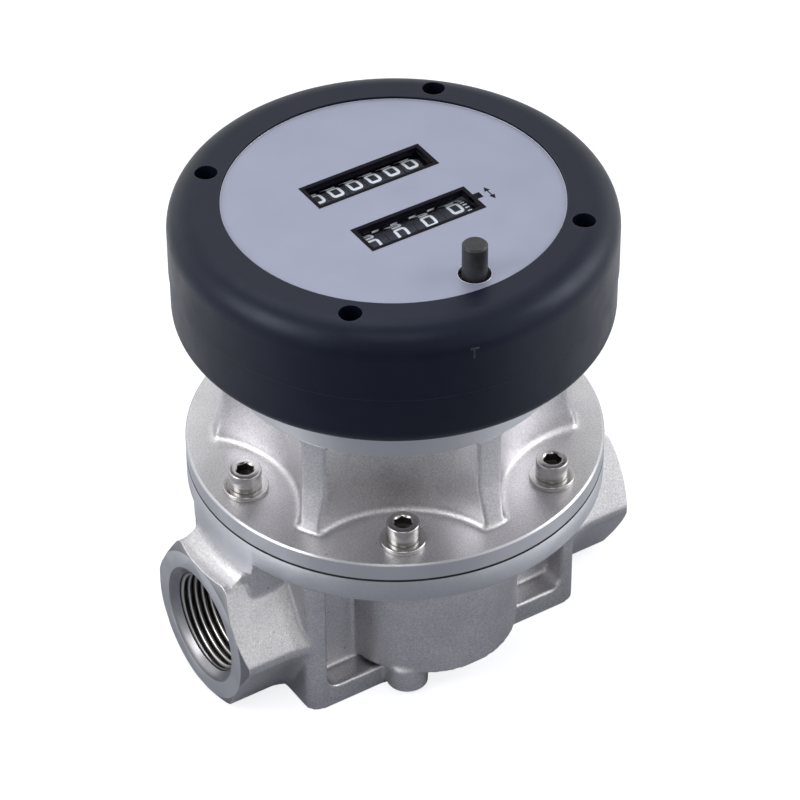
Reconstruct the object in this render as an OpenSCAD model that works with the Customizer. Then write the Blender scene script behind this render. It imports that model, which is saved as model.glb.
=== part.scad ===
// Oval gear flow meter with 1 inch ports and a mechanical register head.
// X runs along the pipe, -Y faces the reader, +Z is up.
// The origin lies under the middle of the body, on the plane of its feet.

/* [Meter body] */
// Distance between the two port faces
port_span = 142.4; // [138:0.2:150]
// Height of the port axis above the feet
port_z = 25.8; // [25:0.1:27]
// Hexagon port boss, across flats
hex_flats = 48.2; // [46:0.2:50]
// Port bore radius at the major diameter of the pipe thread
port_r = 16.62; // [15.5:0.02:17]
// Depth of the threaded length of each port
port_depth = 21; // [18:0.5:22]
// Radius of the plain passage behind the thread
passage_r = 14.6; // [12:0.1:15]
// Foot block length along the pipe
block_len = 99; // [94:1:103]
// Foot block width across the pipe
block_w = 58.8; // [55:0.2:62]
// Outer radius of the two chamber lobes
lobe_r = 29; // [27:0.5:30]
// Height of the underside of the lobes
lobe_z = 9; // [7:0.5:10]
// Flange radius of body and cover
flange_r = 64.2; // [63:0.2:67]
// Height of the joint face between body and cover
seam_z = 66.6; // [64:0.2:70]
// Thickness of the body flange
body_flange_t = 8.9; // [7.5:0.1:10]

/* [Oval gears] */
// Long half axis of the pitch oval
oval_a = 20; // [19:0.1:20.5]
// Short half axis of the pitch oval
oval_b = 13; // [12.5:0.1:13.5]
// Tooth count of each gear, two more than a multiple of four
oval_teeth = 22; // [18:4:26]
// Height of the chamber floor
chamber_z = 17; // [15:0.5:18]
// Length of the cover plug below the joint face
plug_h = 14.6; // [12:0.2:18]
// Radius of the fixed gear shafts
shaft_r = 4; // [3:0.1:4.5]

/* [Meter cover] */
// Thickness of the cover flange
cover_flange_t = 6; // [5:0.2:8]
// Width of the flange outside the tower
flange_land = 11.8; // [11:0.2:13]
// Height of the tower above the cover flange
tower_h = 46.8; // [44:0.2:50]
// Height of the solid ring round the tower top
ring_h = 14.6; // [12:0.2:18]
// Radius of each scallop between two ribs
scallop_r = 35.8; // [34:0.2:36]
// Distance of the scallop centres outside the bolt circle
scallop_out = 21.7; // [21.2:0.1:22.7]
// Distance of the bolt circle inside the flange edge
bolt_in = 10.9; // [10:0.1:11.5]
// Nominal radius of the cover screws
bolt_r = 3; // [2.5:0.1:3.2]

/* [Register head] */
// Largest radius of the head
head_r = 66.8; // [66:0.2:69]
// How far the head draws in at its foot
head_flare = 3.6; // [2:0.2:5]
// Height of the register base
base_h = 17.6; // [15:0.2:20]
// Height from the parting line to the upper side of the faceplate
housing_h = 22.1; // [21.5:0.1:26]
// Shoulder radius of the housing
shoulder_r = 9; // [7:0.5:9]
// Wall thickness of base and housing
head_wall = 3; // [2.5:0.1:3.5]
// Width of the housing outside the faceplate
plate_margin = 15.8; // [15:0.1:16.5]
// Thickness of the faceplate
plate_t = 1.2; // [0.8:0.1:1.5]
// Height of the housing lip above the faceplate
lip_h = 0.8; // [0.4:0.1:1.5]
// Distance of the housing screws inside the largest radius
head_screw_in = 10.2; // [9.8:0.1:11]

/* [Counters] */
// Radius of the number wheels
wheel_r = 9.3; // [8.6:0.1:9.5]
// Depth of the wheel tops below the faceplate
wheel_depth = 3.9; // [3.6:0.1:4.4]
// Number of wheels in the total counter
total_wheels = 6; // [6:1:6]
// Number of wheels in the reset counter
reset_wheels = 4; // [4:1:4]
// Wheel spacing in the total counter
total_pitch = 6.5; // [6:0.05:6.6]
// Wheel spacing in the reset counter
reset_pitch = 9.7; // [9:0.05:9.9]
// Radius of the counter axles and of the cross shaft
axle_r = 1.5; // [1.2:0.05:1.7]

/* [Reset button] */
// Radius of the button
button_r = 3.75; // [3.4:0.05:4]
// Height of the button above the faceplate
button_h = 10.7; // [9:0.1:12]
// Travel of the button
button_travel = 5; // [4:0.5:5.5]
// Distance of the button inside the edge of the faceplate
button_in = 8; // [7.6:0.1:9]

/* [Hidden] */
$fn = 96;

// Clearances and the one overrun of every cut
over = 1;
running = 0.05;
slip = 0.15;
gap = 0.3;
tip_gap = 1;

// Heights and circles that follow from the driving sizes
cover_top_z = seam_z + cover_flange_t;
plug_z = seam_z - plug_h;
tower_z = cover_top_z + tower_h;
parting_z = tower_z + base_h;
plate_z = parting_z + housing_h;
tower_r = flange_r - flange_land;
bolt_circle_r = flange_r - bolt_in;
scallop_at = bolt_circle_r + scallop_out;
head_foot_r = head_r - head_flare;
plate_r = head_r - plate_margin;
head_screw_at = head_r - head_screw_in;
button_at = plate_r - button_in;
guide_r = 7.2;

// Casting details
hex_r = hex_flats / 2 / cos(30);
hex_corner = 0.75;
boss_r = hex_r - hex_corner;
boss_bevel_w = 2.8;
boss_bevel_l = 1.5;
mouth_depth = 1.9;
mouth_r = port_r + mouth_depth;
boss_blend_len = 4.5;
boss_blend_grow = 1.9;
block_corner_r = 4.5;
pocket_x = 43.3;
pocket_z = 7.6;
pocket_depth = 8.6;
pocket_corner_r = 4;
neck_w = 34;
neck_fillet_r = 5;
pad_r = 9;
pad_t = 3;
lug_r = 6.5;
lug_x = 17;
lug_y = 33;
slot_w = 22;
slot_out = 26;
slot_in = 12;
body_flange_z = seam_z - body_flange_t;
hex_top_z = port_z + hex_flats / 2;
boss_root = (pocket_x + block_len / 2) / 2;

// Oval gear layout and tooth form
centre_dist = oval_a + oval_b;
gear_y = centre_dist / 2;
tooth_add = 1.3;
tooth_ded = 1.75;
tooth_angle = 20;
tooth_play = 0.42;
chamber_r = oval_a + tooth_add + gap;
gear_end_gap = 0.2;
gear_bottom = chamber_z + gear_end_gap;
gear_top = plug_z - gear_end_gap;
bush_wall = 2;
bush_r = shaft_r + bush_wall;
shaft_seat = 6;
shaft_top_seat = 2.5;
magnet_r = 2.3;
magnet_h = 3;
magnet_at = 8.6;
gear_magnet_count = 2;
flank_shares = [0, 0.3, 0.55, 0.75, 1];

// Cover details
rim_chamfer = 1.2;
ring_z = tower_z - ring_h;
bolt_count = 6;
rib_rise = 13.9;
rib_kink_z = cover_top_z + rib_rise;
rib_foot_out = 3.2;
rib_foot_r = tower_r + rib_foot_out;
scallop_fillet = 2.6;
tower_wall = 9.2;
cavity_r = scallop_at - scallop_r - tower_wall;
cavity_floor = 2;
cavity_z = cover_top_z + cavity_floor;
movement_ledge = 6;
ledge_r = cavity_r + movement_ledge;
well_r = 12.6;
well_floor = 5.5;
well_z = plug_z + well_floor;
bush_seat = 1.5;
oring_at = (gear_y + chamber_r + bolt_circle_r - bolt_r) / 2;
oring_r = 1.5;
oring_squeeze = 0.3;
groove_w = 3.6;
bolt_clear = 0.3;
bolt_grip = 7.2;
bolt_bottom_z = seam_z - bolt_grip;
washer_r = 7;
washer_t = 1.6;
bolt_head_r = 5;
bolt_head_h = 6;
bolt_edge = 0.5;
hex_key_r = 2.9;
hex_key_depth = 3;

// Movement layout
movement_t = 4;
movement_drop = 1;
movement_z = tower_z - movement_drop - movement_t;
movement_top = movement_z + movement_t;
movement_r = ledge_r - gap;
movement_screw_at = cavity_r + movement_ledge / 2;
movement_screw_angle = 60;
movement_screw_count = 3;
small_r = 1.5;
small_head_r = 2.75;
small_head_h = 2.4;
small_len = 8;
cross_h = 10.2;
cross_z = movement_top + cross_h;
spindle_r = 2;
spindle_end = 1.4;
spindle_bush_r = 4;
spindle_bush_h = 5;
worm_core_r = 2.9;
worm_pitch_r = 4;
worm_len = 8;
spindle_top = cross_z + worm_len / 2 + spindle_end;
worm_module = 0.8;
worm_wheel_teeth = 18;
worm_wheel_r = worm_module * worm_wheel_teeth / 2;
worm_wheel_t = 3;
rotor_r = 11.8;
rotor_t = 5;
rotor_lift = 0.5;
rotor_z = well_z - bush_seat + spindle_bush_h + rotor_lift;
rotor_hub_r = 4.5;
rotor_hub_h = 4;
rotor_magnet_at = 8.4;
rotor_magnet_count = 4;

// Counter layout
axle_z = plate_z - wheel_depth - wheel_r;
window_shift = 2.2;
total_window_y = 13.3;
total_window_l = 41.8;
total_window_w = 11.9;
reset_window_x = 0.8;
reset_window_y = -12.3;
reset_window_l = 39.4;
reset_window_w = 12.3;
notch_l = 2.2;
notch_w = 2.6;
total_y = total_window_y + window_shift;
reset_y = reset_window_y + window_shift;
axle_gap = total_y - reset_y;
cross_y = -gear_y + worm_pitch_r + worm_wheel_r;
cross_reach = sqrt(pow(reset_y - cross_y, 2) + pow(axle_z - cross_z, 2));
cross_teeth = 16;
counter_teeth = 22;
idler_teeth = 10;
train_module = 2 * cross_reach / (cross_teeth + counter_teeth);
idler_reach = train_module * (counter_teeth + idler_teeth) / 2;
idler_y = (total_y + reset_y) / 2;
idler_z = axle_z - sqrt(pow(idler_reach, 2) - pow(axle_gap / 2, 2));
train_play = 0.3;
train_angle = 20;
train_add_share = 0.85;
train_ded_share = 1.15;
plate_in = 22.5;
side_t = 2;
plate_out = plate_in + side_t;
gear_off = 1;
gear_in = plate_out + gear_off;
gear_face = 2.4;
gear_split = 0.4;
gear_out = gear_in + 2 * gear_face + gear_split;
axle_end = 1;
axle_left = plate_out + axle_end;
axle_right = gear_out + axle_end;
shaft_collar_l = 1;
side_foot_w = 30;
side_foot_h = 4.6;
side_back_y = 26;
side_front_gap = 7.8;
side_front_y = guide_r + side_front_gap - button_at;
side_drop = 5;
side_top = plate_z - side_drop;
side_corner_r = 5;
bracket_in = 14;
bracket_t = 2;
frame_screw_x = 18.2;
frame_screw_y = 11;
pillar_r = 2.5;
pillar_front_in = 4;
pillar_front_y = side_front_y + pillar_front_in;
pillar_back_in = 5;
pillar_back_y = side_back_y - pillar_back_in;
pillar_low_h = 8.1;
pillar_low_z = movement_top + pillar_low_h;
pillar_top_y = idler_y;
pillar_drop = 8.1;
pillar_top_z = plate_z - pillar_drop;
rim_t = 1.3;
web_t = 1.4;
hub_r = 3.2;
wheel_gap = 0.4;
hub_gap = 0.1;

// Head details
base_floor_t = 2.5;
base_floor_z = tower_z + base_floor_t;
base_edge_r = 2;
base_opening_r = ledge_r;
base_screw_out = 8;
base_screw_at = ledge_r + base_screw_out;
base_screw_angle = 30;
base_screw_count = 4;
base_screw_r = 2;
base_screw_head_r = 3.5;
base_screw_head_h = 2.6;
base_screw_len = 10;
base_seal_in = 3.4;
base_seal_at = tower_r - base_seal_in;
base_seal_r = 1;
parting_step = 0.3;
roof_t = 2.3;
ledge_w = 3.2;
head_top = plate_z + lip_h;
seat_z = plate_z - plate_t;
housing_boss_r = 6.4;
base_boss_r = 6;
head_screw_angle = 45;
head_screw_count = 4;
counterbore_r = 3.5;
counterbore_h = 6;
counterbore_z = parting_z + counterbore_h;
head_screw_r = 1.7;
head_screw_head_r = 3.2;
head_screw_head_h = 2.6;
head_screw_len = 16;
head_seal_w = 1.4;
head_seal_at = head_r - parting_step - head_wall / 2;
head_seal_h = 1.2;
button_hole_r = 4.85;
frame_t = 1.6;
frame_border = 1.5;
frame_flange = 2;
pane_t = 0.8;
pane_lap = 1;
pane_fit = 0.1;
guide_in_r = 5.6;
guide_floor_h = 9.1;
guide_floor_z = base_floor_z + guide_floor_h;
guide_floor_t = 2;
guide_cap_t = 2;
collar_r = 5.2;
collar_t = 2;
collar_drop = 9.1;
collar_top = plate_z - collar_drop;
guide_top = collar_top + gap;
stem_r = 1.9;
stem_bottom = base_floor_z + button_travel + 2 * gap;
button_edge = 0.6;
spring_r = 3.7;
spring_wire_r = 0.45;
spring_turns = 7;
spring_sides = 6;
spring_steps = 18;

// Pitch radius of the oval at angle t from its long axis, and its two derivatives per radian
oval_k = 2 * oval_a * oval_b;
oval_d = oval_a - oval_b;
function oval_q(t) = centre_dist - oval_d * cos(2 * t);
function oval_r(t) = oval_k / oval_q(t);
function oval_dr(t) = -2 * oval_k * oval_d * sin(2 * t) / pow(oval_q(t), 2);
function oval_ddr(t) = -4 * oval_k * oval_d * cos(2 * t) / pow(oval_q(t), 2)
    + 8 * oval_k * pow(oval_d * sin(2 * t), 2) / pow(oval_q(t), 3);
function oval_speed(t) = sqrt(pow(oval_r(t), 2) + pow(oval_dr(t), 2));
function oval_bend(t) = pow(oval_speed(t), 3)
    / (pow(oval_r(t), 2) + 2 * pow(oval_dr(t), 2) - oval_r(t) * oval_ddr(t));

// Arc length along the pitch oval, one entry a degree, for spacing the teeth evenly
deg = PI / 180;
oval_table = [for (t = 0, s = 0; t <= 360; s = s + oval_speed(t + 0.5) * deg, t = t + 1) [s, t]];
oval_length = oval_table[360][0];
oval_pitch = oval_length / oval_teeth;
function involute(a) = tan(a) - a * deg;

// Half the angle that a tooth covers at height h over a pitch circle of radius r
function half_tooth(r, h, thick, a) =
    let (c = r * cos(a) / (r + h), top = c < 1 ? acos(c) : 0)
    (thick / 2 / r + involute(a) - involute(top)) / deg;

// One tooth of the oval gear, from its left root over the tip to its right root
function oval_tooth(k) =
    let (
        t = lookup(k * oval_pitch, oval_table),
        bend = oval_bend(t),
        normal = t + atan2(oval_r(t), oval_dr(t)) - 90,
        centre = oval_r(t) * [cos(t), sin(t)] - bend * [cos(normal), sin(normal)],
        heights = [for (f = flank_shares) f * (tooth_add + tooth_ded) - tooth_ded],
        thick = oval_pitch / 2 - tooth_play / 2,
        spread = [for (h = heights) half_tooth(bend, h, thick, tooth_angle)],
        last = len(heights) - 1
    )
    concat(
        [for (i = [0 : last]) centre + (bend + heights[i])
            * [cos(normal - spread[i]), sin(normal - spread[i])]],
        [for (i = [last : -1 : 0]) centre + (bend + heights[i])
            * [cos(normal + spread[i]), sin(normal + spread[i])]]
    );

// One tooth of a round gear, its middle at angle m
function round_tooth(r, add, ded, thick, a, m) =
    let (
        heights = [for (f = flank_shares) f * (add + ded) - ded],
        spread = [for (h = heights) half_tooth(r, h, thick, a)],
        last = len(heights) - 1
    )
    concat(
        [for (i = [0 : last]) (r + heights[i]) * [cos(m - spread[i]), sin(m - spread[i])]],
        [for (i = [last : -1 : 0]) (r + heights[i]) * [cos(m + spread[i]), sin(m + spread[i])]]
    );
function round_gear(module_size, teeth, play, turn) =
    let (r = module_size * teeth / 2, thick = PI * module_size / 2 - play / 2)
    [for (k = [0 : teeth - 1])
        each round_tooth(r, train_add_share * module_size, train_ded_share * module_size,
            thick, train_angle, turn + k * 360 / teeth)];

// Turn of a second gear that meshes with a first one lying at angle dir from it
function mesh_turn(dir, turn, teeth, mate_teeth) =
    dir + 180 + 180 / mate_teeth - (turn - dir) * teeth / mate_teeth;
cross_dir = atan2(axle_z - cross_z, reset_y - cross_y);
cross_turn = cross_dir;
reset_turn = mesh_turn(cross_dir, cross_turn, cross_teeth, counter_teeth);
reset_dir = atan2(idler_z - axle_z, idler_y - reset_y);
idler_turn = mesh_turn(reset_dir, reset_turn, counter_teeth, idler_teeth);
idler_dir = atan2(axle_z - idler_z, total_y - idler_y);
total_turn = mesh_turn(idler_dir, idler_turn, idler_teeth, counter_teeth);

// Turns a drawing of the YZ plane and its thickness so that it stands at x
module stand_x(x, t) {
    translate([x, 0, 0]) rotate([90, 0, 90]) linear_extrude(t) children();
}
// Rod along X from x to x plus l at height z and place y
module rod_x(x, l, r, y, z) {
    translate([x, y, z]) rotate([0, 90, 0]) cylinder(r = r, h = l);
}
// Rectangle about the origin with round corners made of true arcs
module round_rect(l, w, r) {
    square([l - 2 * r, w], center = true);
    square([l, w - 2 * r], center = true);
    for (sx = [-1, 1], sy = [-1, 1])
        translate([sx * (l / 2 - r), sy * (w / 2 - r)]) circle(r);
}
// Repeats its child on a circle round the axis
module on_circle(count, first, at) {
    for (k = [0 : count - 1]) rotate(first + k * 360 / count) translate([at, 0, 0]) children();
}

// Meter body: one casting with two ports, the figure of eight chamber and the flange
module port_boss() {
    face = port_span / 2;
    blend_end = block_len / 2 + boss_blend_len;
    rotate([0, 90, 0]) intersection() {
        rotate(30) {
            translate([0, 0, boss_root]) cylinder(r = hex_r, h = face - boss_root, $fn = 6);
            translate([0, 0, boss_root])
                cylinder(r1 = hex_r + boss_blend_grow, r2 = hex_r, h = blend_end - boss_root, $fn = 6);
        }
        rotate_extrude() polygon([
            [0, boss_root],
            [boss_r + boss_blend_grow, boss_root],
            [boss_r, blend_end + hex_corner],
            [boss_r, face - boss_bevel_l],
            [boss_r - boss_bevel_w, face],
            [0, face]
        ]);
    }
}
// Hollow curve from the neck under the flange down to the top flat of each port boss
module neck_fillet() {
    intersection() {
        translate([0, 0, hex_top_z]) rotate_extrude() difference() {
            translate([flange_r - over, -over]) square([neck_fillet_r, neck_fillet_r + over]);
            translate([flange_r + neck_fillet_r, neck_fillet_r]) circle(neck_fillet_r);
        }
        translate([-port_span / 2, -hex_r / 2, 0]) cube([port_span, hex_r, seam_z]);
    }
}
module port_cut() {
    face = port_span / 2;
    rotate([0, 90, 0]) rotate_extrude() polygon([
        [0, slot_out - over],
        [passage_r, slot_out - over],
        [passage_r, face - port_depth],
        [port_r, face - port_depth],
        [port_r, face - mouth_depth],
        [mouth_r, face],
        [mouth_r, face + over],
        [0, face + over]
    ]);
}
module foot_block() {
    difference() {
        linear_extrude(body_flange_z + over) round_rect(block_len, block_w, block_corner_r);
        for (sx = [-1, 1], sy = [-1, 1]) {
            pocket_l = pocket_x - lug_x;
            pocket_h = body_flange_z - pocket_z + 2 * pocket_corner_r;
            translate([
                sx * (pocket_x - pocket_l / 2),
                sy * (block_w / 2 - pocket_depth),
                pocket_z + pocket_h / 2
            ])
                rotate([90, 0, 0])
                    translate([0, 0, sy > 0 ? -pocket_depth - over : 0])
                        linear_extrude(pocket_depth + over)
                            round_rect(pocket_l, pocket_h, pocket_corner_r);
        }
    }
}
module meter_body() {
    color("silver")
    difference() {
        union() {
            translate([0, 0, body_flange_z]) cylinder(r = flange_r, h = body_flange_t);
            foot_block();
            for (sy = [-1, 1]) translate([0, sy * gear_y, lobe_z])
                cylinder(r = lobe_r, h = body_flange_z + over - lobe_z);
            for (turn = [0, 180]) rotate(turn) translate([0, 0, port_z]) port_boss();
            intersection() {
                translate([0, 0, port_z]) cylinder(r = flange_r, h = body_flange_z + over - port_z);
                translate([-flange_r, -neck_w / 2, 0]) cube([2 * flange_r, neck_w, seam_z]);
            }
            neck_fillet();
            on_circle(bolt_count, 0, bolt_circle_r)
                translate([0, 0, body_flange_z - pad_t]) cylinder(r = pad_r, h = pad_t + over);
            for (turn = [0, 180]) rotate(turn)
                translate([-lug_x, -lug_y, 0]) cylinder(r = lug_r, h = lobe_z + over);
        }
        for (turn = [0, 180]) rotate(turn) {
            translate([0, 0, port_z]) port_cut();
            translate([slot_in, -slot_w / 2, chamber_z])
                cube([slot_out - slot_in, slot_w, port_z + passage_r - chamber_z]);
        }
        for (sy = [-1, 1]) translate([0, sy * gear_y, 0]) {
            translate([0, 0, chamber_z]) cylinder(r = chamber_r, h = seam_z);
            translate([0, 0, chamber_z - shaft_seat]) cylinder(r = shaft_r, h = shaft_seat + over);
        }
        translate([0, 0, seam_z - 2 * oring_r + oring_squeeze]) difference() {
            cylinder(r = oring_at + groove_w / 2, h = 2 * oring_r);
            cylinder(r = oring_at - groove_w / 2, h = 2 * oring_r);
        }
        on_circle(bolt_count, 0, bolt_circle_r)
            translate([0, 0, bolt_bottom_z - over]) cylinder(r = bolt_r + slip, h = seam_z);
    }
}

// Meter cover: flange, ribbed tower, plug over the chamber and the dry well of the coupling
module cover_outside() {
    translate([0, 0, seam_z]) cylinder(r = flange_r, h = cover_flange_t - rim_chamfer);
    translate([0, 0, cover_top_z - rim_chamfer])
        cylinder(r1 = flange_r, r2 = flange_r - rim_chamfer, h = rim_chamfer);
    for (sy = [-1, 1]) translate([0, sy * gear_y, plug_z])
        cylinder(r = chamber_r - slip, h = seam_z + over - plug_z);
    translate([0, 0, cover_top_z - over]) linear_extrude(ring_z + 2 * over - cover_top_z) difference() {
        circle(tower_r);
        on_circle(bolt_count, 0, scallop_at) circle(scallop_r);
    }
    translate([0, 0, ring_z]) cylinder(r = tower_r, h = ring_h);
    rib_feet();
    on_circle(bolt_count, 0, 0) scallop_foot();
}
// Cone of the rib slopes, drawn in by inset
module rib_cone(inset) {
    rotate_extrude() polygon([
        [0, cover_top_z - over],
        [rib_foot_r + over * rib_foot_out / rib_rise - inset, cover_top_z - over],
        [tower_r - inset, rib_kink_z],
        [0, rib_kink_z]
    ]);
}
module rib_feet() {
    difference() {
        rib_cone(0);
        on_circle(bolt_count, 0, scallop_at) cylinder(r = scallop_r, h = tower_z);
    }
}
module scallop_foot() {
    intersection() {
        translate([scallop_at, 0, cover_top_z - over]) rotate_extrude() difference() {
            translate([scallop_r - scallop_fillet, 0])
                square([scallop_fillet + over / 2, scallop_fillet + over]);
            translate([scallop_r - scallop_fillet, scallop_fillet + over]) circle(scallop_fillet);
        }
        rib_cone(gap);
    }
}
module meter_cover() {
    color("gainsboro")
    difference() {
        cover_outside();
        translate([0, 0, cavity_z]) cylinder(r = cavity_r, h = tower_z);
        translate([0, 0, movement_z]) cylinder(r = ledge_r, h = tower_z);
        translate([0, -gear_y, well_z]) cylinder(r = well_r, h = cavity_z);
        translate([0, -gear_y, well_z - bush_seat]) cylinder(r = spindle_bush_r, h = bush_seat + over);
        for (sy = [-1, 1]) translate([0, sy * gear_y, plug_z - over])
            cylinder(r = shaft_r + running, h = shaft_top_seat + over);
        on_circle(bolt_count, 0, bolt_circle_r) translate([0, 0, seam_z - over])
            cylinder(r = bolt_r + bolt_clear, h = cover_flange_t + 2 * over);
        on_circle(movement_screw_count, movement_screw_angle, movement_screw_at)
            translate([0, 0, movement_z - small_len])
                cylinder(r = small_r + running, h = small_len + over);
        on_circle(base_screw_count, base_screw_angle, base_screw_at)
            translate([0, 0, tower_z - base_screw_len])
                cylinder(r = base_screw_r + running, h = tower_z);
        translate([0, 0, tower_z - 2 * base_seal_r + oring_squeeze]) difference() {
            cylinder(r = base_seal_at + base_seal_r + slip, h = tower_z);
            cylinder(r = base_seal_at - base_seal_r - slip, h = tower_z);
        }
    }
}
module cover_screws() {
    color("lightgray")
    on_circle(bolt_count, 0, bolt_circle_r) {
        head_z = cover_top_z + washer_t;
        translate([0, 0, bolt_bottom_z]) cylinder(r = bolt_r, h = head_z + over - bolt_bottom_z);
        difference() {
            union() {
                translate([0, 0, head_z]) cylinder(r = bolt_head_r, h = bolt_head_h - bolt_edge);
                translate([0, 0, head_z + bolt_head_h - bolt_edge])
                    cylinder(r1 = bolt_head_r, r2 = bolt_head_r - bolt_edge, h = bolt_edge);
            }
            translate([0, 0, head_z + bolt_head_h - hex_key_depth])
                cylinder(r = hex_key_r, h = hex_key_depth + over, $fn = 6);
        }
    }
}
module cover_washers() {
    color("silver")
    on_circle(bolt_count, 0, bolt_circle_r) translate([0, 0, cover_top_z]) difference() {
        cylinder(r = washer_r, h = washer_t);
        translate([0, 0, -over]) cylinder(r = bolt_r + slip, h = washer_t + 2 * over);
    }
}
module cover_seal() {
    color("black")
    translate([0, 0, seam_z - oring_r + oring_squeeze / 2]) rotate_extrude()
        translate([oring_at, 0]) intersection() {
            circle(oring_r);
            square([2 * oring_r, 2 * oring_r - oring_squeeze], center = true);
        }
}

// Oval gears on their fixed shafts
module oval_gear() {
    difference() {
        translate([0, 0, gear_bottom]) linear_extrude(gear_top - gear_bottom)
            polygon([for (k = [0 : oval_teeth - 1]) each oval_tooth(k)]);
        cylinder(r = bush_r, h = seam_z);
    }
}
module gear_bush() {
    translate([0, 0, gear_bottom]) difference() {
        cylinder(r = bush_r, h = gear_top - gear_bottom);
        translate([0, 0, -over]) cylinder(r = shaft_r + running, h = seam_z);
    }
}
module gear_shafts() {
    color("silver")
    for (sy = [-1, 1]) translate([0, sy * gear_y, chamber_z - shaft_seat])
        cylinder(r = shaft_r, h = plug_z + shaft_top_seat + shaft_seat - chamber_z);
}
module drive_oval_gear() {
    color("darkgray")
    translate([0, -gear_y, 0]) difference() {
        oval_gear();
        on_circle(gear_magnet_count, 0, magnet_at) translate([0, 0, gear_top - magnet_h])
            cylinder(r = magnet_r, h = magnet_h + over);
    }
}
module drive_gear_bush() {
    color("dimgray") translate([0, -gear_y, 0]) gear_bush();
}
module drive_magnets() {
    color("slategray")
    translate([0, -gear_y, gear_top - magnet_h]) on_circle(gear_magnet_count, 0, magnet_at)
        cylinder(r = magnet_r, h = magnet_h);
}
module driven_oval_gear() {
    color("darkgray") translate([0, gear_y, 0]) rotate(90) oval_gear();
}
module driven_gear_bush() {
    color("dimgray") translate([0, gear_y, 0]) gear_bush();
}

// Magnetic coupling and the upright spindle
module spindle_bushes() {
    color("goldenrod")
    for (z = [well_z - bush_seat, movement_z])
        translate([0, -gear_y, z]) difference() {
            cylinder(r = spindle_bush_r, h = spindle_bush_h);
            translate([0, 0, z < movement_z ? bush_seat / 2 : -over])
                cylinder(r = spindle_r + running, h = spindle_bush_h + 2 * over);
        }
}
module spindle() {
    foot = well_z - bush_seat / 2 + running;
    color("silver")
    translate([0, -gear_y, 0]) {
        translate([0, 0, foot]) cylinder(r = spindle_r, h = spindle_top - foot);
        translate([0, 0, cross_z - worm_len / 2]) cylinder(r = worm_core_r, h = worm_len);
    }
}
module magnet_rotor() {
    color("dimgray")
    translate([0, -gear_y, rotor_z]) difference() {
        union() {
            cylinder(r = rotor_r, h = rotor_t);
            cylinder(r = rotor_hub_r, h = rotor_t + rotor_hub_h);
        }
        translate([0, 0, -over]) cylinder(r = spindle_r, h = rotor_t + rotor_hub_h + 2 * over);
        on_circle(rotor_magnet_count, 0, rotor_magnet_at) translate([0, 0, -over])
            cylinder(r = magnet_r, h = magnet_h + over);
    }
}
module rotor_magnets() {
    color("slategray")
    translate([0, -gear_y, rotor_z]) on_circle(rotor_magnet_count, 0, rotor_magnet_at)
        cylinder(r = magnet_r, h = magnet_h);
}

// Movement: mounting plate, side plates and pillars
module movement_plate() {
    color("lightsteelblue")
    difference() {
        translate([0, 0, movement_z]) cylinder(r = movement_r, h = movement_t);
        translate([0, -gear_y, movement_z - over])
            cylinder(r = spindle_bush_r, h = movement_t + 2 * over);
        on_circle(movement_screw_count, movement_screw_angle, movement_screw_at)
            translate([0, 0, movement_z - over])
                cylinder(r = small_r + slip, h = movement_t + 2 * over);
        for (sx = [-1, 1], sy = [-1, 1])
            translate([sx * frame_screw_x, sy * frame_screw_y, movement_z - over])
                cylinder(r = small_r + running, h = movement_t + 2 * over);
    }
}
module small_screw(z, l) {
    translate([0, 0, z - l]) cylinder(r = small_r, h = l + over);
    translate([0, 0, z]) difference() {
        cylinder(r = small_head_r, h = small_head_h);
        translate([0, 0, small_head_h / 2]) cylinder(r = small_r, h = small_head_h, $fn = 6);
    }
}
module movement_screws() {
    color("silver")
    on_circle(movement_screw_count, movement_screw_angle, movement_screw_at)
        small_screw(movement_top, small_len + movement_t - tip_gap);
}
module frame_screws() {
    color("silver")
    for (sx = [-1, 1], sy = [-1, 1])
        translate([sx * frame_screw_x, sy * frame_screw_y, 0])
            small_screw(movement_top + bracket_t, movement_t + bracket_t - tip_gap);
}
// Outline of a side plate as seen along X, across as Y and up as Z
module side_outline() {
    foot_top = movement_top + side_foot_h;
    translate([-side_foot_w / 2, movement_top]) square([side_foot_w, side_foot_h + side_corner_r]);
    translate([(side_back_y + side_front_y) / 2, (side_top + foot_top) / 2])
        round_rect(side_back_y - side_front_y, side_top - foot_top, side_corner_r);
}
module side_holes(axle_fit) {
    for (y = [total_y, reset_y]) translate([y, axle_z]) circle(axle_fit);
    translate([cross_y, cross_z]) circle(axle_fit);
    for (p = pillar_places) translate(p) circle(small_r);
}
pillar_places = [
    [pillar_front_y, pillar_low_z],
    [pillar_back_y, pillar_low_z],
    [pillar_top_y, pillar_top_z]
];
module side_bracket(side) {
    low_x = side > 0 ? bracket_in : -plate_in - running;
    difference() {
        translate([low_x, -side_foot_w / 2, movement_top])
            cube([plate_in + running - bracket_in, side_foot_w, bracket_t]);
        for (sy = [-1, 1]) translate([side * frame_screw_x, sy * frame_screw_y, movement_top - over])
            cylinder(r = small_r + slip, h = bracket_t + 2 * over);
    }
}
module left_side_plate() {
    color("lightsteelblue") {
        stand_x(-plate_out, side_t) difference() {
            side_outline();
            side_holes(axle_r + running);
        }
        side_bracket(-1);
    }
}
module right_side_plate() {
    color("lightsteelblue") {
        stand_x(plate_in, side_t) difference() {
            side_outline();
            side_holes(axle_r + running);
        }
        side_bracket(1);
        rod_x(plate_out - side_t / 2, gear_out + running - plate_out + side_t / 2,
            axle_r, idler_y, idler_z);
    }
}
module frame_pillars() {
    color("silver")
    for (p = pillar_places) {
        rod_x(-plate_in, 2 * plate_in, pillar_r, p[0], p[1]);
        rod_x(-plate_out, 2 * plate_out, small_r, p[0], p[1]);
    }
}

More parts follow.
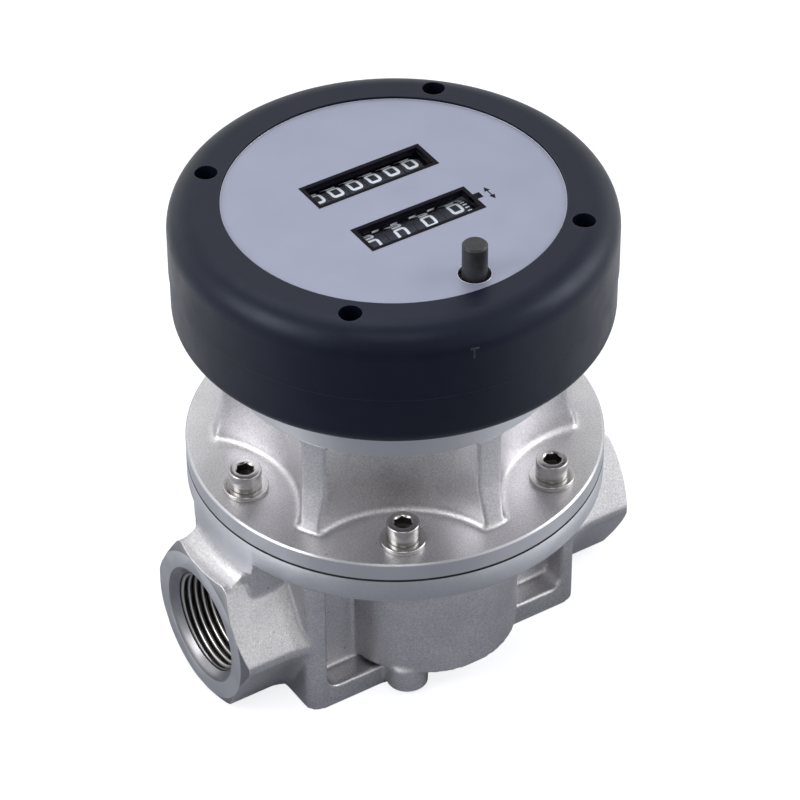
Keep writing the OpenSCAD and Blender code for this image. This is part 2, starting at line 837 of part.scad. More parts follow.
// Gear train from the worm to the two counters
module train_gear(x, face, teeth, turn, bore) {
    stand_x(x, face) difference() {
        polygon(round_gear(train_module, teeth, train_play, turn));
        circle(bore);
    }
}
module cross_shaft() {
    color("silver") {
        rod_x(-axle_left, axle_left + gear_in + gear_face, axle_r, cross_y, cross_z);
        for (x = [slip - plate_in, plate_in - slip - shaft_collar_l])
            rod_x(x, shaft_collar_l, hub_r, cross_y, cross_z);
    }
}
module worm_wheel() {
    color("goldenrod")
    translate([0, cross_y, cross_z]) stand_x(-worm_wheel_t / 2, worm_wheel_t) difference() {
        polygon(round_gear(worm_module, worm_wheel_teeth, train_play, 0));
        circle(axle_r);
    }
}
module cross_gear() {
    color("goldenrod")
    translate([0, cross_y, cross_z]) train_gear(gear_in, gear_face, cross_teeth, cross_turn, axle_r);
}
module idler_gear() {
    color("goldenrod")
    translate([0, idler_y, idler_z])
        train_gear(gear_in + gear_face + gear_split, gear_face, idler_teeth, idler_turn,
            axle_r + running);
}
module total_drive_gear() {
    color("goldenrod")
    translate([0, total_y, axle_z])
        train_gear(gear_in + gear_face + gear_split, gear_face, counter_teeth, total_turn, axle_r);
}
module reset_drive_gear() {
    color("goldenrod")
    translate([0, reset_y, axle_z])
        train_gear(gear_in, gear_out - gear_in, counter_teeth, reset_turn, axle_r);
}
module counter_axle(y) {
    color("silver") rod_x(-axle_left, axle_left + axle_right, axle_r, y, axle_z);
}
module total_axle() {
    counter_axle(total_y);
}
module reset_axle() {
    counter_axle(reset_y);
}

// Number wheel: a thin rim on a web and hub, the first of each row fixed to its axle
module number_wheel(x, y, pitch, fixed) {
    rim_w = pitch - wheel_gap;
    hub_w = pitch - hub_gap;
    color("black")
    translate([x, y, axle_z]) rotate([0, 90, 0]) difference() {
        union() {
            translate([0, 0, -rim_w / 2]) difference() {
                cylinder(r = wheel_r, h = rim_w);
                translate([0, 0, -over]) cylinder(r = wheel_r - rim_t, h = rim_w + 2 * over);
            }
            translate([0, 0, -web_t / 2]) cylinder(r = wheel_r - rim_t / 2, h = web_t);
            translate([0, 0, -hub_w / 2]) cylinder(r = hub_r, h = hub_w);
        }
        translate([0, 0, -hub_w]) cylinder(r = fixed ? axle_r : axle_r + running, h = 2 * hub_w);
    }
}
// Wheel n of a row counts from the right, where the lowest digit is
module total_wheel(n) {
    number_wheel((total_wheels + 1 - 2 * n) * total_pitch / 2, total_y, total_pitch, n == 1);
}
module reset_wheel(n) {
    number_wheel(reset_window_x + (reset_wheels + 1 - 2 * n) * reset_pitch / 2,
        reset_y, reset_pitch, n == 1);
}

// Register base, housing and what seals and fastens them
module register_base() {
    flare = (head_r - parting_step - head_foot_r) / (parting_z - tower_z);
    color("black")
    difference() {
        union() {
            rotate_extrude() difference() {
                polygon([
                    [0, tower_z],
                    [head_foot_r, tower_z],
                    [head_r - parting_step, parting_z],
                    [0, parting_z]
                ]);
                polygon([
                    [0, base_floor_z],
                    [head_foot_r + flare * base_floor_t - head_wall, base_floor_z],
                    [head_r - parting_step - head_wall, parting_z],
                    [head_r - parting_step - head_wall, parting_z + over],
                    [0, parting_z + over]
                ]);
                translate([head_foot_r - base_edge_r, tower_z]) difference() {
                    translate([0, -over]) square([base_edge_r + over, base_edge_r + over]);
                    translate([0, base_edge_r]) circle(base_edge_r);
                }
            }
            on_circle(head_screw_count, head_screw_angle, head_screw_at)
                translate([0, 0, tower_z]) cylinder(r = base_boss_r, h = parting_z - tower_z);
        }
        translate([0, 0, tower_z - over]) cylinder(r = base_opening_r, h = tower_z);
        on_circle(base_screw_count, base_screw_angle, base_screw_at)
            translate([0, 0, tower_z - over]) cylinder(r = base_screw_r + slip, h = tower_z);
        on_circle(head_screw_count, head_screw_angle, head_screw_at)
            translate([0, 0, counterbore_z - head_screw_len - tip_gap])
                cylinder(r = head_screw_r + running, h = tower_z);
        translate([0, 0, parting_z - head_seal_h]) difference() {
            cylinder(r = head_seal_at + head_seal_w / 2, h = head_seal_h + over);
            cylinder(r = head_seal_at - head_seal_w / 2, h = head_seal_h + over);
        }
    }
}
module register_housing() {
    inner_r = head_r - head_wall;
    inner_top = seat_z - roof_t;
    color("black")
    difference() {
        union() {
            rotate_extrude() difference() {
                dome(head_r, parting_z, head_top, shoulder_r);
                dome(inner_r, parting_z - over, inner_top, shoulder_r - head_wall);
            }
            on_circle(head_screw_count, head_screw_angle, head_screw_at)
                translate([0, 0, parting_z])
                    cylinder(r = housing_boss_r, h = inner_top + over - parting_z);
        }
        translate([0, 0, seat_z]) cylinder(r = plate_r, h = head_top);
        translate([0, 0, parting_z]) cylinder(r = plate_r - ledge_w, h = head_top);
        on_circle(head_screw_count, head_screw_angle, head_screw_at) {
            translate([0, 0, counterbore_z]) cylinder(r = counterbore_r, h = head_top);
            translate([0, 0, parting_z - over]) cylinder(r = head_screw_r + slip, h = head_top);
        }
    }
}
// Half profile of a flat topped dome with a round shoulder
module dome(r, z0, z1, shoulder) {
    translate([0, z0]) square([r, z1 - shoulder - z0]);
    translate([0, z0]) square([r - shoulder, z1 - z0]);
    translate([r - shoulder, z1 - shoulder]) circle(shoulder);
}
module housing_seal() {
    color("dimgray")
    translate([0, 0, parting_z - head_seal_h]) difference() {
        cylinder(r = head_seal_at + head_seal_w / 2, h = head_seal_h);
        translate([0, 0, -over])
            cylinder(r = head_seal_at - head_seal_w / 2, h = head_seal_h + 2 * over);
    }
}
module base_seal() {
    color("dimgray")
    translate([0, 0, tower_z - base_seal_r + oring_squeeze / 2]) rotate_extrude()
        translate([base_seal_at, 0]) intersection() {
            circle(base_seal_r);
            square([2 * base_seal_r, 2 * base_seal_r - oring_squeeze], center = true);
        }
}
module base_screws() {
    color("silver")
    on_circle(base_screw_count, base_screw_angle, base_screw_at) {
        translate([0, 0, base_floor_z - base_screw_len])
            cylinder(r = base_screw_r, h = base_screw_len + over);
        translate([0, 0, base_floor_z]) difference() {
            cylinder(r = base_screw_head_r, h = base_screw_head_h);
            translate([0, 0, base_screw_head_h / 2])
                cylinder(r = base_screw_r, h = base_screw_head_h, $fn = 6);
        }
    }
}
module housing_screws() {
    color("dimgray")
    on_circle(head_screw_count, head_screw_angle, head_screw_at) {
        translate([0, 0, counterbore_z - head_screw_len])
            cylinder(r = head_screw_r, h = head_screw_len + over);
        translate([0, 0, counterbore_z]) difference() {
            cylinder(r = head_screw_head_r, h = head_screw_head_h);
            translate([0, 0, head_screw_head_h / 2])
                cylinder(r = head_screw_r, h = head_screw_head_h, $fn = 6);
        }
    }
}

// Faceplate with the two windows, their frames and panes
module window_places() {
    translate([0, total_window_y]) children(0);
    translate([reset_window_x, reset_window_y]) children(1);
}
module window_holes(grow) {
    window_places() {
        square([total_window_l + 2 * grow, total_window_w + 2 * grow], center = true);
        square([reset_window_l + 2 * grow, reset_window_w + 2 * grow], center = true);
    }
}
module notch(grow) {
    translate([reset_window_x + reset_window_l / 2 - over, reset_window_y - notch_w / 2 - grow])
        square([notch_l + grow + over, notch_w + 2 * grow]);
}
module faceplate() {
    color("lightsteelblue")
    translate([0, 0, seat_z]) linear_extrude(plate_t) difference() {
        circle(plate_r - slip);
        window_holes(0);
        notch(0);
        translate([0, -button_at]) circle(button_hole_r);
    }
}
module window_frames() {
    color("black")
    difference() {
        translate([0, 0, seat_z - frame_t]) linear_extrude(frame_t) difference() {
            window_holes(frame_flange);
            window_holes(-frame_border);
        }
        translate([0, 0, seat_z - frame_t - over]) linear_extrude(pane_t + over)
            window_holes(pane_lap - frame_border);
    }
}
module window_panes() {
    color("lightblue", 0.4)
    translate([0, 0, seat_z - frame_t]) linear_extrude(pane_t)
        window_holes(pane_lap - frame_border - pane_fit);
}

// Reset button in its guide, with the return spring under its collar
module button_guide() {
    color("lightsteelblue")
    translate([0, -button_at, 0]) difference() {
        translate([0, 0, base_floor_z]) cylinder(r = guide_r, h = guide_top - base_floor_z);
        translate([0, 0, guide_floor_z]) cylinder(r = guide_in_r, h = guide_top);
        translate([0, 0, base_floor_z - over])
            cylinder(r = guide_in_r, h = guide_floor_z + over - guide_floor_t - base_floor_z);
        cylinder(r = stem_r + running, h = guide_top);
    }
}
module guide_cap() {
    color("lightsteelblue")
    translate([0, -button_at, guide_top]) difference() {
        cylinder(r = guide_r, h = guide_cap_t);
        translate([0, 0, -over]) cylinder(r = button_r + running, h = guide_cap_t + 2 * over);
    }
}
module reset_button() {
    cap_top = plate_z + button_h;
    color("dimgray")
    translate([0, -button_at, 0]) {
        translate([0, 0, collar_top]) cylinder(r = button_r, h = cap_top - button_edge - collar_top);
        translate([0, 0, cap_top - button_edge])
            cylinder(r1 = button_r, r2 = button_r - button_edge, h = button_edge);
        translate([0, 0, collar_top - collar_t]) cylinder(r = collar_r, h = collar_t);
        translate([0, 0, stem_bottom]) cylinder(r = stem_r, h = collar_top - stem_bottom);
    }
}
// Ring n of the spring wire, as a six-sided section turned round the coil
function spring_ring(n, steps, bottom, rise) =
    let (a = 360 * spring_turns * n / steps)
    [for (k = [0 : spring_sides - 1])
        let (b = 360 * k / spring_sides, r = spring_r + spring_wire_r * cos(b))
        [r * cos(a), r * sin(a), bottom + rise * n / steps + spring_wire_r * sin(b)]];
module button_spring() {
    steps = spring_turns * spring_steps;
    bottom = guide_floor_z + spring_wire_r;
    rise = collar_top - collar_t - spring_wire_r - bottom;
    points = [for (n = [0 : steps]) each spring_ring(n, steps, bottom, rise)];
    sides = [for (n = [0 : steps - 1], k = [0 : spring_sides - 1])
        let (m = (k + 1) % spring_sides, low = n * spring_sides, high = low + spring_sides)
        each [[low + k, low + m, high + m], [low + k, high + m, high + k]]];
    ends = [
        [for (k = [spring_sides - 1 : -1 : 0]) k],
        [for (k = [0 : spring_sides - 1]) steps * spring_sides + k]
    ];
    color("silver") translate([0, -button_at, 0])
        polyhedron(points = points, faces = concat(sides, ends));
}

meter_body();
meter_cover();
cover_screws();
cover_washers();
cover_seal();
gear_shafts();
drive_oval_gear();
drive_gear_bush();
drive_magnets();
driven_oval_gear();
driven_gear_bush();
spindle_bushes();
spindle();
magnet_rotor();
rotor_magnets();
movement_plate();
movement_screws();
left_side_plate();
right_side_plate();
frame_pillars();
frame_screws();
cross_shaft();
worm_wheel();
cross_gear();
idler_gear();
total_axle();
total_drive_gear();
total_wheel(1);  // total_wheel_1
total_wheel(2);  // total_wheel_2
total_wheel(3);  // total_wheel_3
total_wheel(4);  // total_wheel_4
total_wheel(5);  // total_wheel_5
total_wheel(6);  // total_wheel_6
reset_axle();
reset_drive_gear();
reset_wheel(1);  // reset_wheel_1
reset_wheel(2);  // reset_wheel_2
reset_wheel(3);  // reset_wheel_3
reset_wheel(4);  // reset_wheel_4
register_base();
base_screws();
base_seal();
register_housing();
housing_seal();
housing_screws();
faceplate();
window_frames();
window_panes();
button_guide();
guide_cap();
reset_button();
button_spring();
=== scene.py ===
import bpy
import bmesh
import math
from mathutils import Matrix, Vector


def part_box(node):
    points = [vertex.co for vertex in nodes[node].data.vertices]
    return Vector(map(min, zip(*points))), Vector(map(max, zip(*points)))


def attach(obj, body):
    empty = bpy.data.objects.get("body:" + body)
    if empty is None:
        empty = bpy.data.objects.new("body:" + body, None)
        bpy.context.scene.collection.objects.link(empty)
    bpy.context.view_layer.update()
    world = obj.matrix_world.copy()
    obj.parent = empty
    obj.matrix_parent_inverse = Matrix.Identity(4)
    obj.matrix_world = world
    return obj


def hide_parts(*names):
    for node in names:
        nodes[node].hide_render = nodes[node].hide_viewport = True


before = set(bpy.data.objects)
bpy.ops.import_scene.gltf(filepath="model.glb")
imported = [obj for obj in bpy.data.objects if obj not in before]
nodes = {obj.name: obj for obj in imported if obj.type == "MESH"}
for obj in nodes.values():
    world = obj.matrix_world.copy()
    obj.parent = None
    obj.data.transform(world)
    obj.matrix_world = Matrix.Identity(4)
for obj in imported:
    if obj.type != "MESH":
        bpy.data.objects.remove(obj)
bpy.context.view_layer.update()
mm = 0.001
print("frame loaded,", len(nodes), "nodes")


# Mesh helpers. Sizes in the dictionaries and outlines are millimetres.

def linked(name, mesh):
    piece = bpy.data.objects.new(name, mesh)
    bpy.context.scene.collection.objects.link(piece)
    return piece


def meshOf(shape, name):
    bmesh.ops.recalc_face_normals(shape, faces=shape.faces)
    mesh = bpy.data.meshes.new(name)
    shape.to_mesh(mesh)
    shape.free()
    return mesh


def joined(meshes, name="joined"):
    shape = bmesh.new()
    for mesh in meshes:
        shape.from_mesh(mesh)
    return meshOf(shape, name)


def arcAt(here, before, after, bend, steps):
    # rounds the corner at here, between the ways before and after, with the radius bend
    half = before.angle(after) / 2
    reach = bend / math.tan(half)
    middle = here + (before.normalized() + after.normalized()).normalized() * bend / math.sin(half)
    first = here + before.normalized() * reach - middle
    sweep = first.angle_signed(here + after.normalized() * reach - middle)
    return [middle + Matrix.Rotation(-sweep * k / steps, 2) @ first for k in range(steps + 1)]


def softCorners(outline, steps=4):
    # a corner written (x, y, bend) becomes an arc of that radius
    made = []
    for n, corner in enumerate(outline):
        here = Vector(corner[:2])
        if len(corner) == 2:
            made.append(here)
            continue
        before = Vector(outline[n - 1][:2]) - here
        after = Vector(outline[(n + 1) % len(outline)][:2]) - here
        made += arcAt(here, before, after, corner[2], steps)
    return made


def turned(outline, steps=96, centre=(0, 0)):
    # revolves a closed outline of (radius, height) round an upright axis
    shape = bmesh.new()
    rings = []
    for point in outline:
        count = 1 if point[0] < 1e-6 else steps
        rings.append([shape.verts.new((
            (centre[0] + point[0] * math.cos(math.tau * k / steps)) * mm,
            (centre[1] + point[0] * math.sin(math.tau * k / steps)) * mm,
            point[1] * mm)) for k in range(count)])
    for n, low in enumerate(rings):
        high = rings[(n + 1) % len(rings)]
        if len(low) + len(high) == 2:
            continue
        for k in range(steps):
            corners = [low[k % len(low)], low[(k + 1) % len(low)],
                       high[(k + 1) % len(high)], high[k % len(high)]]
            shape.faces.new(list(dict.fromkeys(corners)))
    return meshOf(shape, "turned")


def rod(radius, low, high, steps, centre=(0, 0)):
    return turned([(0, low), (radius, low), (radius, high), (0, high)], steps, centre)


def squareRing(inner, outer, low, high):
    return turned([(inner, low), (outer, low), (outer, high), (inner, high)], 192)


def boxMesh(low, high):
    shape = bmesh.new()
    size = Vector(high) - Vector(low)
    middle = (Vector(high) + Vector(low)) / 2
    place = Matrix.Translation(middle * mm) @ Matrix.Diagonal((*size * mm, 1))
    bmesh.ops.create_cube(shape, size=1, matrix=place)
    return meshOf(shape, "box")


def alongX(mesh, side):
    # turns a mesh made round the Z axis so that its axis runs along X, towards side
    copy = mesh.copy()
    copy.transform(Matrix.Rotation(side * math.pi / 2, 4, "Y"))
    return copy


def onCircle(mesh, count, first, reach):
    made = []
    for k in range(count):
        angle = math.radians(first + k * 360 / count)
        copy = mesh.copy()
        copy.transform(Matrix.Rotation(angle, 4, "Z") @ Matrix.Translation((reach * mm, 0, 0)))
        made.append(copy)
    return made


def settle(piece):
    # applies the modifiers to the piece's own mesh
    graph = bpy.context.evaluated_depsgraph_get()
    done = bpy.data.meshes.new_from_object(piece.evaluated_get(graph))
    piece.modifiers.clear()
    piece.data = done


def painted(mesh, finish):
    mesh.materials.clear()
    mesh.materials.append(finish)
    return mesh


def machine(piece, tool, finish=None, operation="DIFFERENCE"):
    # faces made by the tool get its finish
    cutter = linked("cutter", painted(tool, finish) if finish else tool)
    cut = piece.modifiers.new("cut", "BOOLEAN")
    cut.solver = "MANIFOLD"
    cut.operation = operation
    cut.material_mode = "TRANSFER"
    cut.object = cutter
    settle(piece)
    bpy.data.objects.remove(cutter)


def finishPiece(piece, body, replaced=(), sharp=38):
    piece.data.polygons.foreach_set("use_smooth", [True] * len(piece.data.polygons))
    piece.data.set_sharp_from_angle(angle=math.radians(sharp))
    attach(piece, body)
    if replaced:
        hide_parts(*replaced)


# Shader helpers

def put(tree, kind, inputs=None, **settings):
    made = tree.nodes.new(kind)
    for key, value in settings.items():
        setattr(made, key, value)
    for key, value in (inputs or {}).items():
        if isinstance(value, bpy.types.NodeSocket):
            tree.links.new(value, made.inputs[key])
        else:
            made.inputs[key].default_value = value
    return made


def sums(tree, operation, *terms):
    return put(tree, "ShaderNodeMath", dict(enumerate(terms)), operation=operation).outputs[0]


def vectorSums(tree, operation, *terms):
    return put(tree, "ShaderNodeVectorMath", dict(enumerate(terms)), operation=operation).outputs["Value"]


def ranged(tree, value, low, high, first=0.0, last=1.0):
    # runs from first to last while value runs from low to high
    return put(tree, "ShaderNodeMapRange", {"Value": value, "From Min": low, "From Max": high,
                                            "To Min": first, "To Max": last}).outputs["Result"]


def placeOn(tree):
    return put(tree, "ShaderNodeTexCoord").outputs["Object"]


def cloud(tree, place, scale, detail, roughness=0.5):
    return put(tree, "ShaderNodeTexNoise", {"Vector": place, "Scale": scale, "Detail": detail,
                                            "Roughness": roughness}).outputs["Fac"]


def newGroup(name, inputs, outputs):
    tree = bpy.data.node_groups.new(name, "ShaderNodeTree")
    for label, value in inputs.items():
        socket = tree.interface.new_socket(label, in_out="INPUT", socket_type="NodeSocketFloat")
        socket.default_value = value
    for label, kind in outputs.items():
        tree.interface.new_socket(label, in_out="OUTPUT", socket_type=kind)
    return tree, tree.nodes.new("NodeGroupInput").outputs, tree.nodes.new("NodeGroupOutput").inputs


def grainGroup():
    # pebbled skin of a blasted or spark-eroded surface
    tree, given, out = newGroup("blastedGrain", {"Grain mm": 0.4, "Lump mm": 5.0, "Speckle": 0.5},
                                {"Height": "NodeSocketFloat", "Tone": "NodeSocketFloat"})
    place = placeOn(tree)
    fine = cloud(tree, place, sums(tree, "DIVIDE", 1000.0, given["Grain mm"]), 2.0, 0.6)
    lumps = cloud(tree, place, sums(tree, "DIVIDE", 1000.0, given["Lump mm"]), 3.0, 0.55)
    tone = put(tree, "ShaderNodeMix", {0: given["Speckle"], 2: lumps, 3: fine})
    tree.links.new(sums(tree, "MULTIPLY_ADD", lumps, 0.35, fine), out["Height"])
    tree.links.new(ranged(tree, tone.outputs[0], 0.32, 0.68), out["Tone"])
    return tree


def turningGroup():
    # fine tool lines round the upright axis, from the radius and the height alone
    tree, given, out = newGroup("turningMarks", {"Lines per mm": 3.0},
                                {"Height": "NodeSocketFloat", "Tone": "NodeSocketFloat"})
    place = placeOn(tree)
    parts = put(tree, "ShaderNodeSeparateXYZ", {"Vector": place}).outputs
    flat = put(tree, "ShaderNodeCombineXYZ", {"X": parts["X"], "Y": parts["Y"]})
    across = sums(tree, "ADD", vectorSums(tree, "LENGTH", flat.outputs["Vector"]), parts["Z"])
    scale = sums(tree, "MULTIPLY", given["Lines per mm"], 1000.0)
    lines = put(tree, "ShaderNodeTexNoise", {"W": across, "Scale": scale, "Detail": 2.0}, noise_dimensions="1D")
    tree.links.new(lines.outputs["Fac"], out["Height"])
    tree.links.new(cloud(tree, place, 60.0, 2.0), out["Tone"])
    return tree


def edgeGroup():
    # how near a sharp edge is, and the normal of the edge as if broken by hand
    tree, given, out = newGroup("brokenEdge", {"Width mm": 0.4},
                                {"Normal": "NodeSocketVector", "Edge": "NodeSocketFloat"})
    soft = put(tree, "ShaderNodeBevel", {"Radius": sums(tree, "MULTIPLY", given["Width mm"], mm)}, samples=6)
    plain = put(tree, "ShaderNodeNewGeometry")
    match = vectorSums(tree, "DOT_PRODUCT", soft.outputs["Normal"], plain.outputs["Normal"])
    tree.links.new(soft.outputs["Normal"], out["Normal"])
    tree.links.new(ranged(tree, match, 0.995, 0.85), out["Edge"])
    return tree


def patchGroup():
    # soft uneven patches, as left by handling, oil or plating
    tree, given, out = newGroup("patches", {"Size mm": 12.0, "Low": 0.0, "High": 1.0},
                                {"Value": "NodeSocketFloat"})
    patch = cloud(tree, placeOn(tree), sums(tree, "DIVIDE", 1000.0, given["Size mm"]), 4.0, 0.6)
    tree.links.new(ranged(tree, patch, 0.3, 0.7, given["Low"], given["High"]), out["Value"])
    return tree


def pitGroup():
    # scattered small dark pits, far apart
    tree, given, out = newGroup("pits", {"Spacing mm": 7.0, "Size mm": 0.5}, {"Pit": "NodeSocketFloat"})
    scale = sums(tree, "DIVIDE", 1000.0, given["Spacing mm"])
    cells = put(tree, "ShaderNodeTexVoronoi", {"Vector": placeOn(tree), "Scale": scale})
    share = sums(tree, "DIVIDE", given["Size mm"], given["Spacing mm"])
    tree.links.new(ranged(tree, cells.outputs["Distance"], 0.0, share, 1.0, 0.0), out["Pit"])
    return tree


def boreGroup():
    # how near the surface stands to the axis of a port: 1 on the thread's crests, 0 down in its grooves, where
    # the thread finish paints its shade
    tree, given, out = newGroup("boreReach", {"Axis mm": 25.8, "Deep mm": 16.3, "Crest mm": 15.3},
                                {"Crest": "NodeSocketFloat"})
    parts = put(tree, "ShaderNodeSeparateXYZ", {"Vector": placeOn(tree)}).outputs
    above = sums(tree, "MULTIPLY_ADD", given["Axis mm"], -mm, parts["Z"])
    flat = put(tree, "ShaderNodeCombineXYZ", {"Y": parts["Y"], "Z": above})
    reach = sums(tree, "MULTIPLY", vectorSums(tree, "LENGTH", flat.outputs["Vector"]), 1000.0)
    tree.links.new(ranged(tree, reach, given["Deep mm"], given["Crest mm"]), out["Crest"])
    return tree


grain, turning, brokenEdge = grainGroup(), turningGroup(), edgeGroup()
patches, pits, boreReach = patchGroup(), pitGroup(), boreGroup()


def effect(tree, group, **inputs):
    made = put(tree, "ShaderNodeGroup", node_tree=group)
    for label, value in inputs.items():
        made.inputs[label.replace("_", " ")].default_value = value
    return made.outputs


def overlaid(tree, amount, under, shade):
    # the colour under, giving way to shade as amount grows
    return put(tree, "ShaderNodeMix", {0: amount, 6: under, 7: (*shade, 1)}, data_type="RGBA").outputs[2]


# What a finish has unless its own dictionary says otherwise. Sizes are millimetres.
plainLook = {"metal": 0, "patch": 10, "grain": 0.3, "lump": 5, "speckle": 0.3, "relief": 0.2, "depth": 0.02,
             "edge": 0.1, "axis": "Z"}


def skin(name, ownLook):
    # a finish from its dictionary: two tones, roughness, grain or tool lines, and broken edges
    look = {**plainLook, **ownLook}
    material = bpy.data.materials.new(name)
    material.use_nodes = True
    tree = material.node_tree
    shader = tree.nodes["Principled BSDF"]
    for label, key in (("Metallic", "metal"), ("Specular IOR Level", "specular"), ("Anisotropic", "brushed"),
                       ("Emission Strength", "glow")):
        if key in look:
            shader.inputs[label].default_value = look[key]
    rough = effect(tree, patches, Size_mm=look["patch"], Low=look["rough"][0], High=look["rough"][1])
    tree.links.new(rough["Value"], shader.inputs["Roughness"])
    edge = effect(tree, brokenEdge, Width_mm=look["edge"])
    if "lines" in look:
        relief = effect(tree, turning, Lines_per_mm=look["lines"])
    else:
        relief = effect(tree, grain, Grain_mm=look["grain"], Lump_mm=look["lump"], Speckle=look["speckle"])
    colour = overlaid(tree, relief["Tone"], (*look["dark"], 1), look["light"])
    colour = overlaid(tree, edge["Edge"], colour, look.get("worn", look["light"]))
    if "pit" in look:
        marks = effect(tree, pits, Spacing_mm=look["pit"][0], Size_mm=look["pit"][1])
        colour = overlaid(tree, marks["Pit"], colour, look["pitShade"])
    # painted shade: the colour stays dark down in the grooves and takes the crest colour only on the crests
    if "crest" in look:
        height = effect(tree, boreReach, Deep_mm=look["crestFrom"][0], Crest_mm=look["crestFrom"][1])
        colour = overlaid(tree, height["Crest"], colour, look["crest"])
    tree.links.new(colour, shader.inputs["Base Color"])
    # painted light: a faint glow in the finish's light colour, as on the digits, though no lamp is there
    if "glow" in look:
        shader.inputs["Emission Color"].default_value = (*look["light"], 1)
    if "tint" in look:
        shader.inputs["Specular Tint"].default_value = (*look["tint"], 1)
    if "brushed" in look:
        # tool lines run round the axis, so the mirror spreads across them
        shader.inputs["Anisotropic Rotation"].default_value = 0.25
        run = put(tree, "ShaderNodeTangent", direction_type="RADIAL", axis=look["axis"])
        tree.links.new(run.outputs["Tangent"], shader.inputs["Tangent"])
    bump = put(tree, "ShaderNodeBump", {"Strength": look["relief"], "Distance": look["depth"] * mm,
                                        "Height": relief["Height"], "Normal": edge["Normal"]})
    tree.links.new(bump.outputs["Normal"], shader.inputs["Normal"])
    return material


castSteel = skin("castSteel", {
    "dark": (0.47, 0.465, 0.485), "light": (0.72, 0.71, 0.73), "worn": (0.88, 0.87, 0.88), "metal": 1,
    "rough": (0.37, 0.46), "grain": 0.55, "lump": 11, "speckle": 0.8, "relief": 0.9, "depth": 0.08,
    "edge": 0.5, "pit": (9, 0.5), "pitShade": (0.16, 0.15, 0.15)})
turnedSteel = skin("turnedSteel", {
    "dark": (0.50, 0.51, 0.545), "light": (0.60, 0.61, 0.645), "worn": (0.72, 0.73, 0.76), "metal": 1,
    "rough": (0.32, 0.40), "lines": 3.5, "relief": 0.35, "edge": 0.35, "brushed": 0.75})
rimSteel = skin("rimSteel", {
    "dark": (0.48, 0.49, 0.53), "light": (0.56, 0.57, 0.61), "worn": (0.66, 0.67, 0.71), "metal": 1,
    "rough": (0.36, 0.46), "grain": 0.9, "lump": 14, "speckle": 0.4, "relief": 0.25, "depth": 0.03,
    "edge": 0.3, "brushed": 0.75, "pit": (11, 0.45), "pitShade": (0.14, 0.14, 0.15)})
# turned port faces and bores, painted darker than the other turned steel as the shade of the table that they
# mirror low down
faceSteelPaintedShade = skin("faceSteelPaintedShade", {
    "dark": (0.27, 0.27, 0.29), "light": (0.36, 0.36, 0.375), "worn": (0.62, 0.61, 0.61), "metal": 1,
    "rough": (0.28, 0.38), "grain": 0.7, "lump": 10, "relief": 0.3, "depth": 0.03, "edge": 0.3,
    "brushed": 0.5, "axis": "X"})
jointDark = skin("jointDark", {
    "dark": (0.02, 0.02, 0.022), "light": (0.05, 0.05, 0.052), "rough": (0.5, 0.7), "specular": 0.1,
    "grain": 0.4})
polishedSteel = skin("polishedSteel", {
    "dark": (0.38, 0.37, 0.37), "light": (0.50, 0.49, 0.48), "worn": (0.74, 0.73, 0.72), "metal": 1,
    "rough": (0.14, 0.26), "grain": 0.8, "relief": 0.12, "edge": 0.15})
# painted shade in the key sockets: the screws' own steel, painted dark as the shade in the recess
socketPaintedShade = skin("socketPaintedShade", {
    "dark": (0.10, 0.10, 0.10), "light": (0.16, 0.155, 0.15), "metal": 1, "rough": (0.3, 0.45), "grain": 0.4})
# thread steel painted dark as the shade deep in the bore, with the steel's own tone only on the crests
threadSteelPaintedShade = skin("threadSteelPaintedShade", {
    "dark": (0.055, 0.05, 0.052), "light": (0.10, 0.095, 0.095), "metal": 1, "rough": (0.3, 0.42),
    "grain": 0.6, "relief": 0.3, "depth": 0.03, "crest": (0.62, 0.61, 0.60), "crestFrom": (16.1, 15.35)})
headBlack = skin("headBlack", {
    "dark": (0.003, 0.0045, 0.012), "light": (0.006, 0.008, 0.020), "worn": (0.05, 0.055, 0.075),
    "rough": (0.33, 0.43), "specular": 0.28, "tint": (0.72, 0.82, 1.0), "grain": 0.4, "lump": 9,
    "relief": 0.35, "depth": 0.04, "edge": 0.35})
# a lighter, mottled black for the parting line and the moulded marks, which show as faint light lines
mottledGreyBlack = skin("mottledGreyBlack", {
    "dark": (0.006, 0.007, 0.012), "light": (0.075, 0.08, 0.10), "rough": (0.4, 0.55), "specular": 0.3,
    "grain": 1.6, "lump": 7, "speckle": 0.5, "relief": 0.3, "depth": 0.03})
# painted highlight: a bright finish for the small bevel rings on the edges of the faceplate and the button hole
paintedEdgeHighlight = skin("paintedEdgeHighlight", {
    "dark": (0.60, 0.61, 0.66), "light": (0.80, 0.81, 0.86), "metal": 0.6, "rough": (0.25, 0.35),
    "grain": 0.5, "relief": 0.1, "depth": 0.01, "edge": 0.05})
darkScrew = skin("darkScrew", {
    "dark": (0.06, 0.06, 0.065), "light": (0.1, 0.1, 0.105), "worn": (0.3, 0.3, 0.3), "metal": 1,
    "rough": (0.32, 0.45), "relief": 0.3, "edge": 0.15})
plateSilver = skin("plateSilver", {
    "dark": (0.335, 0.36, 0.48), "light": (0.375, 0.40, 0.52), "worn": (0.75, 0.77, 0.82), "metal": 0.35,
    "rough": (0.38, 0.46), "grain": 0.25, "lump": 20, "relief": 0.15, "edge": 0.2})
frameBlack = skin("frameBlack", {
    "dark": (0.004, 0.004, 0.008), "light": (0.008, 0.008, 0.014), "worn": (0.018, 0.018, 0.026),
    "rough": (0.28, 0.38), "specular": 0.06, "grain": 0.5, "relief": 0.1, "edge": 0.2})
wheelBlack = skin("wheelBlack", {
    "dark": (0.022, 0.022, 0.040), "light": (0.034, 0.034, 0.058), "worn": (0.06, 0.06, 0.08),
    "rough": (0.35, 0.45), "specular": 0.2, "edge": 0.12})
